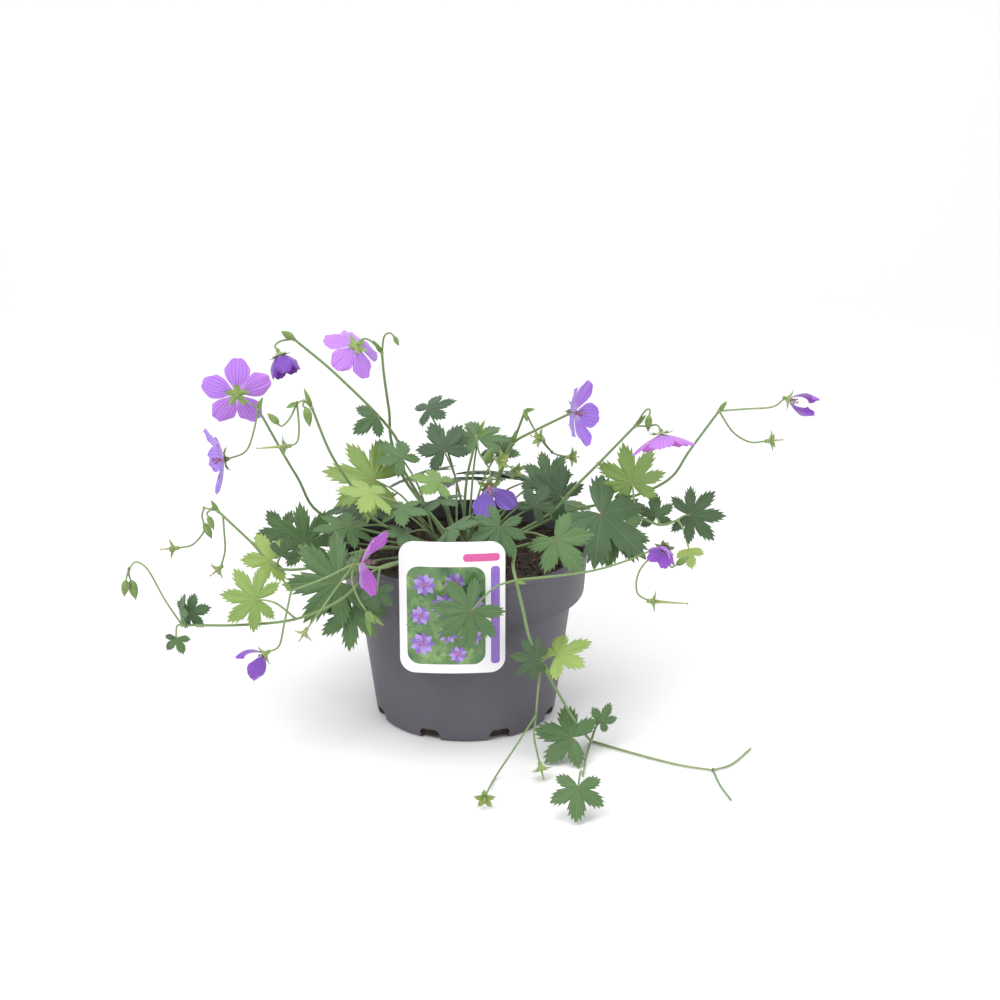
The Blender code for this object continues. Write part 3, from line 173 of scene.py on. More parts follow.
LEAFY_STEMS = (
    Stem(
        "stem_top_left", (-9, 17), [at(404, 478, 40), at(395, 436, 38), at(340, 378, 30), at(294, 339, 22)],
        twigs=[Twig([at(294, 339, 22), at(281, 341, 20), at(275, 346, 17), at(278, 351, 15)], TWIG_R)],
        leaves=[Leaf(at(384, 424, 37), at(376, 416, 30), at(353, 434, 24), FRONT, 3)],
        buds=[Bud(at(294, 339, 22), at(281, 331, 16))],
        calyces=[],
        blooms=[Bloom("bloom_goblet", at(278, 351, 15), (0.35, -0.35, -0.85), 26, WHOLE, 20)],
    ),
    Stem(
        "stem_top", (-16, 27), [at(396, 455, 66), at(389, 410, 66), at(384, 375, 64), at(382, 353, 62)],
        twigs=[
            Twig([at(382, 353, 62), at(384, 337, 60), at(390, 333, 58), at(395, 338, 56)], TWIG_R),
            Twig([at(382, 353, 62), at(371, 341, 58), at(363, 339, 55), at(358, 344, 52)], TWIG_R),
        ],
        leaves=[Leaf(at(382, 353, 62), at(379, 349, 60), at(373, 340, 58), FRONT, 1)],
        buds=[Bud(at(394, 336, 56), at(399, 346, 54))],
        calyces=[],
        blooms=[Bloom("bloom_top", at(358, 344, 52), (-0.5, 0.45, -0.72), 62, WHOLE, 26)],
    ),
    Stem(
        "stem_upper_left", (-20, 7), [at(328, 518, 6), at(296, 475, -4), at(258, 409, -22)],
        twigs=[
            Twig([at(258, 409, -22), at(248, 402, -21), at(237, 395, -18)], TWIG_R),
            Twig([at(258, 409, -22), at(254, 430, -24), at(246, 451, -26), at(228, 459, -26)], TWIG_R),
        ],
        leaves=[Leaf(at(258, 409, -22), at(259, 406, -24), at(263, 397, -25), FRONT, 1)],
        buds=[],
        calyces=[],
        blooms=[
            Bloom("bloom_upper_left", at(237, 395, -18), (-0.12, 0.98, 0.1), 78, TURNED, 27),
            Bloom("bloom_left", at(227, 459, -26), (-0.95, -0.28, -0.05), 68, WHOLE, 27),
        ],
    ),
    Stem(
        "stem_nodding", (-13, -2), [at(378, 522, -12), at(352, 487, -13), at(330, 452, -22),
                                    at(312, 408, -30)],
        twigs=[
            Twig([at(312, 408, -30), at(304, 401, -30), at(297, 403, -31)], TWIG_R),
            Twig([at(304, 401, -30), at(303, 405, -33), at(305, 408, -36)], TWIG_R),
            Twig([at(297, 403, -31), at(290, 418, -33), at(282, 426, -34), at(277, 423, -34)], TWIG_R),
            Twig([at(297, 403, -31), at(299, 428, -30), at(297, 442, -29), at(289, 446, -28)], TWIG_R),
        ],
        leaves=[Leaf(at(297, 403, -31), at(294, 404, -32), at(286, 408, -34), FRONT, 1),
                Leaf(at(312, 408, -30), at(309, 399, -30), at(304, 388, -30), FRONT, 1)],
        buds=[Bud(at(306, 407, -36), at(310, 427, -38)), Bud(at(279, 424, -34), at(267, 413, -36))],
        calyces=[Calyx(at(289, 446, -28), at(276, 447, -30), 21)],
        blooms=[],
    ),
    Stem(
        "stem_left", (-22, -11),
        [at(392, 548, -52), at(350, 554, -66), at(320, 566, -62), at(278, 568, -52), at(250, 541, -44),
         at(218, 511, -38)],
        twigs=[
            Twig([at(218, 511, -38), at(210, 509, -38), at(204, 508, -38)], TWIG_R),
            Twig([at(212, 509, -38), at(207, 513, -41), at(208, 516, -44)], TWIG_R),
            Twig([at(204, 508, -38), at(202, 516, -37), at(204, 524, -37)], TWIG_R),
            Twig([at(204, 524, -37), at(203, 533, -34), at(192, 545, -33), at(177, 548, -33)], TWIG_R),
            Twig([at(223, 516, -39), at(224, 530, -40), at(225, 550, -41), at(221, 567, -41)], TWIG_R),
        ],
        leaves=[
            Leaf(at(276, 568, -52), at(271, 560, -50), at(238, 560, -46), FRONT, 5),
            Leaf(at(276, 568, -52), at(281, 556, -54), at(290, 536, -56), FRONT, 3),
            Leaf(at(218, 511, -38), at(216, 508, -38), at(211, 500, -38), FRONT, 1),
        ],
        buds=[Bud(at(208, 516, -44), at(214, 530, -47)), Bud(at(204, 523, -37), at(212, 539, -38))],
        calyces=[
            Calyx(at(177, 548, -33), at(165, 549, -33), 9),
            Calyx(at(221, 567, -41), at(208, 578, -46), 7),
        ],
        blooms=[],
    ),
    Stem(
        "stem_lower_left", (-9, -18), [at(405, 562, -80), at(380, 568, -86), at(354, 564, -92)],
        twigs=[
            Twig([at(354, 564, -92), at(325, 578, -96), at(291, 591, -94)], 1.0),
            Twig([at(354, 564, -92), at(354, 560, -99), at(360, 560, -106)], TWIG_R),
            Twig([at(354, 564, -92), at(335, 590, -108), at(318, 614, -112), at(306, 630, -112)], TWIG_R),
            Twig([at(354, 564, -92), at(352, 580, -98), at(358, 598, -102), at(366, 611, -104)], TWIG_R),
            Twig([at(291, 591, -94), at(284, 625, -106), at(279, 646, -108), at(268, 652, -108)], TWIG_R),
        ],
        leaves=[
            Leaf(at(291, 591, -94), at(289, 588, -94), at(283, 580, -94), FRONT, 1),
            Leaf(at(366, 611, -104), at(367, 613, -104), at(371, 637, -106), FRONT, 1),
            Leaf(at(366, 611, -104), at(369, 611, -105), at(384, 626, -107), FRONT, 1),
            Leaf(at(380, 568, -86), at(377, 592, -98), at(372, 616, -104), FRONT, 5),
        ],
        buds=[Bud(at(366, 611, -104), at(375, 624, -110))],
        calyces=[Calyx(at(306, 630, -112), at(300, 640, -115), 6)],
        blooms=[
            Bloom("bloom_rim", at(360, 560, -106), (0.9, -0.42, -0.05), 62, (0, 144, 216, 288), 27),
            Bloom("bloom_wilting_left", at(268, 652, -108), (-0.82, -0.25, -0.5), 30, (0, 80, 190), 22),
        ],
    ),
    Stem(
        "stem_far_left", (-27, -17), [at(398, 562, -74), at(372, 572, -82), at(340, 600, -94),
                                      at(296, 619, -94),
                                      at(240, 625, -86), at(182, 625, -72)],
        twigs=[
            Twig([at(182, 625, -72), at(165, 600, -68), at(148, 570, -64), at(136, 562, -62),
                  at(129, 569, -61)], TWIG_R),
            Twig([at(129, 569, -61), at(127, 575, -61), at(126, 581, -62)], TWIG_R),
            Twig([at(129, 569, -61), at(129, 575, -60), at(131, 581, -57)], TWIG_R),
            Twig([at(182, 625, -72), at(177, 626, -73), at(176, 636, -74)], TWIG_R),
        ],
        leaves=[
            Leaf(at(296, 619, -94), at(256, 599, -92), at(217, 594, -88), FRONT, 7),
            Leaf(at(182, 625, -72), at(181, 612, -74), at(186, 594, -76), UP, 5),
            Leaf(at(182, 625, -72), at(189, 613, -70), at(212, 607, -66), FRONT, 5),
            Leaf(at(176, 636, -74), at(176, 638, -74), at(166, 651, -76), FRONT, 3),
            Leaf(at(176, 636, -74), at(177, 638, -76), at(184, 655, -79), FRONT, 3),
        ],
        buds=[Bud(at(126, 580, -62), at(124, 597, -62)), Bud(at(131, 580, -57), at(136, 600, -56))],
        calyces=[],
        blooms=[],
    ),
    Stem(
        "stem_trailing", (8, -27),
        [at(512, 546, -58), at(513, 566, -84), at(516, 580, -99), at(523, 610, -104), at(530, 640, -103),
         at(541, 662, -98), at(560, 696, -92), at(577, 724, -89), at(591, 741, -86)],
        twigs=[
            Twig([at(516, 580, -99), at(580, 573, -92), at(620, 563, -82), at(662, 546, -66)], 1.0),
            Twig([at(662, 546, -66), at(665, 543, -71), at(667, 545, -77)], TWIG_R),
            Twig([at(662, 546, -66), at(640, 570, -62), at(637, 592, -66), at(649, 601, -74)], TWIG_R),
            Twig([at(662, 546, -66), at(668, 557, -60), at(671, 567, -60), at(676, 565, -62)], TWIG_R),
            Twig([at(541, 662, -98), at(538, 690, -104), at(536, 715, -110)], 1.0),
            Twig([at(536, 715, -110), at(516, 746, -140), low(496, 776, 2.5), low(485, 796, 9)], TWIG_R),
            Twig([at(536, 715, -110), at(534, 735, -120), at(537, 752, -126), at(540, 764, -130)], TWIG_R),
            Twig([low(591, 741), low(640, 755), low(680, 765), low(713, 770)], 1.0),
            Twig([low(713, 770), low(732, 764), low(751, 748)], TWIG_R),
            Twig([low(713, 770), low(720, 785), low(731, 800)], TWIG_R),
            Twig([low(591, 741), low(586, 758), low(583, 776, 3)], TWIG_R),
        ],
        leaves=[
            Leaf(at(516, 580, -99), at(471, 611, -112), at(437, 640, -114), FRONT, 7),
            Leaf(at(541, 662, -98), at(536, 659, -106), at(510, 656, -112), FRONT, 7),
            Leaf(at(541, 662, -98), at(557, 655, -92), at(591, 640, -84), UP, 5),
            Leaf(low(591, 741), low(572, 737, 19), low(532, 728, 20), LYING, 5),
            Leaf(low(591, 741), at(601, 722, -84), at(611, 703, -80), BESIDE, 5),
            Leaf(low(583, 776, 3), low(578, 788, 22), low(576, 822, 3.5), FRONT, 5),
            Leaf(at(516, 580, -99), at(518, 577, -101), at(526, 584, -104), FRONT, 1),
            Leaf(at(541, 662, -98), at(544, 664, -100), at(551, 677, -102), FRONT, 1),
        ],
        buds=[Bud(at(676, 565, -62), at(690, 556, -62))],
        calyces=[
            Calyx(at(649, 601, -74), at(664, 602, -75), 26),
            Calyx(low(485, 796, 9), low(484, 806, 8), 5),
            Calyx(at(540, 764, -130), at(544, 780, -134), 8),
        ],
        blooms=[Bloom("bloom_right_low", at(667, 545, -77), (-0.42, -0.75, -0.5), 45, WHOLE, 16)],
    ),
    Stem(
        "stem_right_leafy", (22, -6), [at(560, 536, -26), at(600, 524, -12), at(635, 517, -4),
                                       at(660, 525, 2),
                                       at(678, 520, 6)],
        twigs=[],
        leaves=[
            Leaf(at(635, 517, -4), at(632, 483, -4), at(622, 440, -2), FRONT, 7),
            Leaf(at(585, 528, -18), at(601, 514, -26), at(648, 558, -34), BESIDE, 5),
            Leaf(at(612, 521, -10), at(618, 531, -26), at(606, 569, -36), FRONT, 7),
            Leaf(at(660, 525, 2), at(656, 517, 6), at(654, 492, 10), FRONT, 5),
            Leaf(at(678, 520, 6), at(690, 515, 6), at(727, 516, 4), FRONT, 7),
            Leaf(at(678, 520, 6), at(689, 549, 4), at(692, 570, 2), FRONT, 3),
        ],
        buds=[],
        calyces=[],
        blooms=[],
    ),
    Stem(
        "stem_right", (17, 4), [at(548, 515, -4), at(572, 490, -6), at(600, 462, -8), at(635, 426, -10)],
        twigs=[
            Twig([at(635, 426, -10), at(645, 411, -12), at(650, 410, -14), at(649, 417, -16)], TWIG_R),
            Twig([at(635, 426, -10), at(648, 426, -14), at(657, 425, -17), at(661, 431, -20)], TWIG_R),
        ],
        leaves=[Leaf(at(635, 426, -10), at(637, 423, -10), at(646, 415, -8), FRONT, 1)],
        buds=[Bud(at(649, 415, -16), at(648, 432, -18))],
        calyces=[],
        blooms=[Bloom("bloom_right", at(661, 431, -20), (0.15, -0.3, -0.92), 62, WHOLE, 27)],
    ),
    Stem(
        "stem_far_right", (24, 9), [at(568, 512, 30), at(622, 500, 34), at(668, 480, 32),
                                    at(690, 450, 28), at(719, 411, 22)],
        twigs=[
            Twig([at(719, 411, 22), at(745, 409, 20), at(772, 407, 18), at(784, 399, 16)], TWIG_R),
            Twig([at(719, 411, 22), at(733, 432, 22), at(750, 442, 21), at(767, 441, 20)], TWIG_R),
        ],
        leaves=[Leaf(at(719, 411, 22), at(721, 408, 22), at(727, 401, 22), FRONT, 1)],
        buds=[],
        calyces=[Calyx(at(767, 441, 20), at(779, 440, 17), 9)],
        blooms=[Bloom("bloom_wilting_right", at(785, 398, 16), (0.9, -0.12, -0.28), 12, (0, 150), 24)],
    ),
    Stem(
        "stem_middle", (11, 13), [at(492, 498, 14), at(503, 462, 10), at(513, 443, 6),
                                  at(540, 428, 0), at(571, 413, -6)],
        twigs=[
            Twig([at(503, 462, 10), at(508, 466, 0), at(513, 468, -8)], TWIG_R),
        ],
        leaves=[Leaf(at(513, 443, 6), at(512, 440, 4), at(516, 430, 2), FRONT, 1),
                ],
        buds=[],
        calyces=[Calyx(at(513, 468, -8), at(520, 474, -14), 7)],
        blooms=[Bloom("bloom_middle_right", at(571, 413, -6), (0.86, -0.42, 0.12), 66, WHOLE, 27)],
    ),
    Stem(
        "stem_forked", (8, 24), [at(498, 480, 44), at(511, 448, 42), at(525, 411, 40)],
        twigs=[
            Twig([at(525, 411, 40), at(536, 432, 36), at(552, 452, 32), at(568, 457, 30)], TWIG_R),
            Twig([at(552, 452, 32), at(547, 446, 24), at(543, 440, 20)], TWIG_R),
        ],
        leaves=[Leaf(at(525, 411, 40), at(526, 408, 38), at(535, 409, 34), FRONT, 1),
                Leaf(at(525, 411, 40), at(526, 413, 38), at(527, 422, 36), FRONT, 1)],
        buds=[],
        calyces=[Calyx(at(568, 457, 30), at(578, 457, 26), 6), Calyx(at(543, 440, 20), at(532, 436, 16), 8)],
        blooms=[],
    ),
    Stem(
        "stem_centre", (-1, 9), [at(464, 520, 2), at(467, 478, 2), at(477, 436, 0)],
        twigs=[
            Twig([at(477, 436, 0), at(479, 452, -8), at(486, 463, -14)], TWIG_R),
            Twig([at(486, 463, -14), at(490, 472, -22), at(489, 483, -28)], TWIG_R),
            Twig([at(486, 463, -14), at(492, 458, -20), at(498, 460, -26)], TWIG_R),
        ],
        leaves=[Leaf(at(477, 436, 0), at(480, 432, -2), at(485, 420, -2), FRONT, 1),
                Leaf(at(477, 436, 0), at(481, 434, -4), at(491, 430, -8), FRONT, 1),
                ],
        buds=[Bud(at(486, 463, -14), at(493, 448, -22))],
        calyces=[Calyx(at(498, 460, -26), at(506, 461, -32), 7)],
        blooms=[Bloom("bloom_front", at(489, 484, -28), (0.05, -0.8, -0.42), 66, (-12, 56), 26)],
    ),
)

LEAF_TUFTS = (
    Stem("leaves_back_left", (-23, 17), [], [], [
        Leaf(None, at(374, 479, 16), at(322, 470, 14), BRIGHT, 7),
        Leaf(None, at(402, 458, 18), at(376, 440, 28), UP, 5),
        Leaf(None, Vector((-78, 40, 152)), Vector((-112, 50, 140)), UP, 7),
    ], [], [], []),
    Stem("leaves_left", (-31, -4), [], [], [
        Leaf(None, at(350, 527, -40), at(311, 530, -46), UP, 7),
        Leaf(None, at(305, 543, -26), at(299, 500, -20), FRONT, 7),
        Leaf(None, at(284, 532, 2), at(254, 538, 6), FRONT, 5),
    ], [], [], []),
    Stem("leaves_front_left", (-32, -14), [], [], [
        Leaf(None, at(352, 610, -82), at(349, 652, -90), FRONT, 7),
        Leaf(None, at(338, 582, -84), at(281, 585, -78), FRONT, 7),
    ], [], [], []),
    Stem("leaves_left_inner", (-14, -12), [], [], [
        Leaf(None, at(374, 494, -42), at(333, 490, -50), UP, 5),
        Leaf(None, at(399, 509, -46), at(430, 514, -54), UP, 5),
        Leaf(None, at(406, 533, -60), at(380, 535, -68), UP, 5),
    ], [], [], []),
    Stem("leaves_back", (2, 31), [], [], [
        Leaf(None, at(478, 438, 52), at(470, 420, 84), UP, 7),
        Leaf(None, at(444, 450, 36), at(430, 422, 54), FRONT, 5),
        Leaf(None, at(498, 452, 62), at(518, 436, 74), UP, 5),
        Leaf(None, at(428, 409, 74), at(458, 400, 76), UP, 5),
    ], [], [], []),
    Stem("leaves_middle", (-8, 3), [], [], [
        Leaf(None, at(440, 482, -14), at(408, 476, -12), UP, 5),
        Leaf(None, at(438, 499, -24), at(458, 505, -42), UP, 5),
    ], [], [], []),
    Stem("leaves_right", (15, 22), [], [], [
        Leaf(None, at(548, 478, 24), at(541, 450, 42), FRONT, 7),
        Leaf(None, at(560, 496, 6), at(528, 474, 14), FRONT, 5),
    ], [], [], []),
    Stem("leaves_right_inner", (18, -14), [], [], [
        Leaf(None, at(534, 507, -38), at(548, 486, -32), FRONT, 5),
        Leaf(None, at(556, 540, -72), at(583, 572, -86), FRONT, 5),
    ], [], [], []),
    Stem("leaves_front", (1, -16), [], [], [
        Leaf(None, at(500, 527, -74), at(487, 560, -86), FRONT, 7),
        Leaf(None, at(450, 529, -68), at(480, 522, -78), UP, 5),
    ], [], [], []),
    Stem("leaves_behind_left", (-7, 37), [], [], [
        Leaf(None, Vector((-36, 92, 160)), Vector((-50, 120, 142)), UP, 7),
        Leaf(None, Vector((-8, 84, 158)), Vector((-16, 120, 138)), UP, 7),
    ], [], [], []),
    Stem("leaves_behind_right", (5, 37), [], [], [
        Leaf(None, Vector((22, 88, 162)), Vector((28, 122, 142)), UP, 7),
        Leaf(None, Vector((50, 78, 158)), Vector((74, 104, 142)), UP, 7),
        Leaf(None, Vector((72, 54, 148)), Vector((100, 68, 138)), UP, 5),
    ], [], [], []),
)

# Material places on a leafy stem
STALK, BLADE, CALYX, HAIR, STYLE = range(5)

# Half the edge of a leaf's lobe, as (place in lobes, reach) from its tip to the sinus
LOBE_EDGE = ((0.0, 1.0), (0.055, 0.9), (0.09, 0.84), (0.14, 0.93), (0.175, 0.8), (0.2, 0.75), (0.265, 0.85),
             (0.3, 0.68), (0.32, 0.64), (0.38, 0.7), (0.42, 0.58), (0.46, 0.48), (0.5, 0.4))

# Fine leaves, bracts, buds, sepals and hairs: rows along them, places across them and sizes
LEAF_ROWS = 9
LEAF_THICK = 0.55
LEAF_PUFF = 0.05
SINUS_DIP = 0.055
VEIN_RIPPLE = 0.006
BLADE_ROWS = 8
ACROSS = (-1, -0.5, 0, 0.5, 1)
SEPAL_ROWS = 9
SEPAL_HALF = 2.3
SEPAL_POINT = 0.22
SEPAL_TURNS = (36, 108, 180, 252, 324)
BRACT_THICK = 0.4
BUD_ROWS = 12
BUD_SIDES = 20
BUD_HAIR = 1.5
SEPAL_HAIR = 1.3
HAIR_HALF = 0.07
HAIR_LEAN = 0.45
BEAK_SHAPE = ((0.0, 1.5), (0.12, 1.7), (0.3, 1.15), (0.55, 0.8), (0.8, 0.55), (0.97, 0.4))
CURVE_STEPS = 7

# Fine petals and the style in the middle of a bloom
PETAL_ROWS = 15
PETAL_COLUMNS = 17
FINE_PETAL_THICK = 0.3
PETAL_WIDEST = 0.72
CLOSED_CROWD = 1.8
CLOSED_CUP = 0.17
PETAL_HALF = PETAL_WIDTH / 2 * 1.06
STYLE_SHARE = 0.4
CLOSED_LEAN = math.radians(40)

# Lowest and highest tint of the petals: 0 blue lilac, 0.5 magenta lilac, 1 deep violet
BLOOM_TINTS = {
    "bloom_goblet": (0.92, 1.0), "bloom_top": (0.34, 0.46), "bloom_upper_left": (0.34, 0.46),
    "bloom_left": (0.05, 0.2), "bloom_rim": (0.46, 0.56), "bloom_wilting_left": (0.75, 0.9),
    "bloom_right_low": (0.6, 0.75), "bloom_right": (0.48, 0.58), "bloom_wilting_right": (0.7, 0.85),
    "bloom_middle_right": (0.05, 0.25), "bloom_front": (0.0, 0.15),
}

# Rosettes printed on the label, as (across, height, size)
PRINTED_FLOWERS = ((-20, 138, 9), (2, 140, 8), (15, 124, 8.5), (-6, 122, 10), (-23, 114, 8), (-22, 92, 9.5),
                   (-3, 100, 7.5), (14, 98, 8), (4, 84, 7))

# Peat: rows and sides of its top, sides of its wall, its gap to the pot, and its crumbs and fibres
PEAT_ROWS = 42
PEAT_SIDES = 150
WALL_SIDES = 64
PEAT_GAP = 0.6
CRUMBS = 520
FIBRES = 150
CRUMB_SPOTS = ((1, 0, 0), (0, 1, 0), (-1, 0, 0), (0, -1, 0), (0, 0, 1), (0, 0, -1))
CRUMB_FACES = ((0, 1, 4), (1, 2, 4), (2, 3, 4), (3, 0, 4), (1, 0, 5), (2, 1, 5), (3, 2, 5), (0, 3, 5))

# How light a leaf is, by stem and place in its list of leaves, where it isn't left to chance
LIGHT_LEAVES = {
    ("stem_left", 0): 0.9, ("stem_far_left", 0): 0.8, ("stem_right_leafy", 0): 0.75,
    ("stem_right_leafy", 5): 0.95, ("leaves_back_left", 0): 0.8, ("leaves_left_inner", 0): 0.9,
    ("leaves_middle", 0): 0.7, ("stem_trailing", 2): 0.9,
}

# Studio light: strength of the surroundings, then lamps in metres and watts as
# (name, place, size, power, target)
WORLD_LIGHT = 0.75
FLOOR_FAR = 3000.0
FLOOR_BEND_Y = 1200.0
FLOOR_BEND_R = 600.0
FLOOR_STEPS = 12
SENSOR = 36
LAMPS = (
    ("key", (-0.9, -1.1, 1.5), 1.0, 17.0, (0.0, 0.0, 0.15)),
    ("top", (0.1, -0.1, 1.7), 1.2, 10.0, (0.0, 0.0, 0.1)),
    ("fill", (1.3, -0.9, 0.7), 1.2, 5.0, (0.0, 0.0, 0.15)),
)


def smooth_path(points, steps):
    """Points along a smooth curve through the given ones."""
    ends = [points[0] * 2 - points[1], *points, points[-1] * 2 - points[-2]]
    path = [points[0]]
    for before, start, end, after in zip(ends, ends[1:], ends[2:], ends[3:]):
        for step in range(1, steps + 1):
            t = step / steps
            bend = (2 * before - 5 * start + 4 * end - after) * t**2
            twist = (3 * start - before - 3 * end + after) * t**3
            path.append(0.5 * (2 * start + (end - before) * t + bend + twist))
    return path


class Skin:
    """Corners, faces, materials and per-corner facts of one mesh in the making."""

    def __init__(self):
        self.corners, self.faces, self.slots, self.uvs, self.tints = [], [], [], [], []

    def add(self, points, faces, slot, uvs=None, tint=0.5):
        """Adds points and faces; uvs holds one pair for each point."""
        first = len(self.corners)
        self.corners.extend(points)
        self.uvs.extend(uvs or [(0.0, 0.0)] * len(points))
        self.tints.extend([tint] * len(points))
        self.faces.extend(tuple(first + index for index in face) for face in faces)
        self.slots.extend([slot] * len(faces))

    def make(self, name, materials):
        """Turns what was added into an object."""
        mesh = bpy.data.meshes.new(name)
        mesh.from_pydata([corner * MM for corner in self.corners], [], self.faces)
        for material in materials:
            mesh.materials.append(material)
        for face, slot in zip(mesh.polygons, self.slots):
            face.material_index = slot
            face.use_smooth = True
        layer = mesh.uv_layers.new(name="UVMap")
        for loop in mesh.loops:
            layer.data[loop.index].uv = self.uvs[loop.vertex_index]
        tints = mesh.attributes.new("tint", "FLOAT", "POINT")
        tints.data.foreach_set("value", self.tints)
        body = bpy.data.objects.new(name, mesh)
        bpy.context.scene.collection.objects.link(body)
        return body


def turned(first, second, angle):
    """The direction at an angle in radians from the first towards the second."""
    return first * math.cos(angle) + second * math.sin(angle)


def ring(centre, across, beside, radius, sides):
    """A loop of points round a centre."""
    return [centre + turned(across, beside, math.tau * side / sides) * radius for side in range(sides)]


def bands(rows, sides):
    """The quads between one ring of points and the next."""
    faces = []
    for row in range(rows - 1):
        for side in range(sides):
            near, far = row * sides + side, row * sides + (side + 1) % sides
            faces.append((near, far, far + sides, near + sides))
    return faces


def tube(skin, points, radii, sides, slot, tint=0.5, across=None):
    """A round stalk with a radius for each point, closed at both ends; gives its last direction across."""
    across = across or (points[1] - points[0]).orthogonal()
    rings, uvs = [], []
    length = 0.0
    for index, point in enumerate(points):
        along = (points[min(index + 1, len(points) - 1)] - points[max(index - 1, 0)]).normalized()
        across = (across - along * across.dot(along)).normalized()
        if index:
            length += (point - points[index - 1]).length
        rings.extend(ring(point, across, along.cross(across), radii[index], sides))
        uvs.extend((side / sides, length / 100) for side in range(sides))
    faces = [tuple(reversed(range(sides))), tuple(range(len(rings) - sides, len(rings)))]
    skin.add(rings, faces + bands(len(points), sides), slot, uvs, tint)
    return across


def taper(start_r, end_r, count):
    """Evenly changing radii."""
    return [start_r + (end_r - start_r) * index / (count - 1) for index in range(count)]


def sheet(skin, grid, thick, normals, slot, uvs, tint):
    """A thin sheet of two layers over rows of points, thinned towards the edge."""
    rows, columns = len(grid), len(grid[0])
    for side in (0.5, -0.5):
        points, flat = [], []
        for row in range(rows):
            for column in range(columns):
                edge = row == rows - 1 or column in (0, columns - 1)
                points.append(grid[row][column] + normals[row][column] * thick * side * (0.25 if edge else 1))
                flat.append(uvs[row][column])
        faces = []
        for row in range(rows - 1):
            for column in range(columns - 1):
                near = row * columns + column
                face = (near, near + 1, near + columns + 1, near + columns)
                faces.append(face if side < 0 else face[::-1])
        skin.add(points, faces, slot, flat, tint)


def leaf_frame(leaf):
    """(along, across, face, length) of a leaf that curls back so that its tip still meets the given point."""
    line = leaf.tip - leaf.base
    length = line.length
    ahead = line.normalized()
    face = (leaf.face - ahead * leaf.face.dot(ahead)).normalized()
    along = turned(ahead, face, LEAF_CURL)
    face = face * math.cos(LEAF_CURL) - ahead * math.sin(LEAF_CURL)
    return along, along.cross(face), face, length


def lobe_reach(place, half, wobble):
    """How far a leaf reaches at a place measured in lobes from its middle lobe."""
    lobe = min(max(round(place), -half), half)
    off = min(abs(place - lobe), 0.5)
    for (near, high), (far, low_reach) in zip(LOBE_EDGE, LOBE_EDGE[1:]):
        if off <= far + 0.0001:
            break
    shape = high + (low_reach - high) * (off - near) / (far - near)
    shape = min(shape * (1 + wobble[lobe]), 1.0)
    last = abs(place) - half
    if last > 0.5:
        shape *= 1 - 0.75 * min((last - 0.5) / 0.2, 1.0)
    return shape * (1 - LOBE_SHRINK * (abs(lobe) / half) ** 1.4)


def leaf_places(half):
    """Where the columns of a leaf stand, measured in lobes: at every tooth and notch of its edge."""
    places = set()
    for lobe in range(-half, half + 1):
        for (near, _), (far, _) in zip(LOBE_EDGE, LOBE_EDGE[1:]):
            for off in (near, (near + far) / 2, far):
                places.update((round(lobe - off, 4), round(lobe + off, 4)))
    places.update((-half - 0.6, -half - 0.7, half + 0.6, half + 0.7))
    return sorted(places)


def fine_leaf(skin, leaf, chance, slot, tint):
    """A leaf blade with cut lobes, toothed edge, sunk veins and a gentle wave."""
    along, across, face, length = leaf_frame(leaf)
    half = leaf.lobes // 2
    step = LOBE_STEP[leaf.lobes]
    wobble = {lobe: chance.uniform(-0.06, 0.06) for lobe in range(-half, half + 1)}
    droop = {lobe: chance.uniform(-0.03, 0.09) for lobe in range(-half, half + 1)}
    places = leaf_places(half)
    grid, normals, uvs = [], [], []
    for row in range(LEAF_ROWS):
        share = row / (LEAF_ROWS - 1)
        line, line_normals, line_uvs = [], [], []
        for place in places:
            turn = math.radians(place * step)
            reach = lobe_reach(place, half, wobble) * share
            lobe = min(max(round(place), -half), half)
            off = place - lobe
            away = turned(along, across, turn)
            drop = math.sin(LEAF_CURL) * reach**2 + LEAF_FOLD * math.sin(math.pi * min(reach, 1))
            drop += droop[lobe] * reach**2 * math.cos(math.pi * off)
            puff = LEAF_PUFF * reach * (1 - math.exp(-((off / 0.16) ** 2))) * (1 - 0.5 * share)
            puff -= SINUS_DIP * reach * math.exp(-(((abs(off) - 0.5) / 0.1) ** 2))
            puff += VEIN_RIPPLE * math.sin(abs(off) * 46 - reach * 34) * share
            run = away * reach * length * math.cos(LEAF_CURL)
            line.append(leaf.base + run + face * length * (puff - drop))
            line_normals.append(face)
            line_uvs.append((off + 0.5, reach))
        grid.append(line)
        normals.append(line_normals)
        uvs.append(line_uvs)
    sheet(skin, grid, LEAF_THICK, normals, slot, uvs, tint)


def fine_bract(skin, base, tip, facing, slot, tint, wide=3.4):
    """A narrow pointed blade with a raised middle."""
    line = tip - base
    ahead = line.normalized()
    face = (facing - ahead * facing.dot(ahead)).normalized()
    beside = ahead.cross(face)
    grid, normals, uvs = [], [], []
    for row in range(BLADE_ROWS + 1):
        share = row / BLADE_ROWS
        half = wide / 2 * math.sin(math.pi * min(share * 1.02, 1) ** 0.8) ** 0.8 + 0.12
        rise = face * line.length * 0.1 * math.sin(math.pi * share)
        grid.append([base + line * share + beside * half * place + rise + face * abs(place) * half * 0.35
                     for place in ACROSS])
        normals.append([face] * len(ACROSS))
        uvs.append([(0.5 + place / 2, share) for place in ACROSS])
    sheet(skin, grid, BRACT_THICK, normals, slot, uvs, tint)


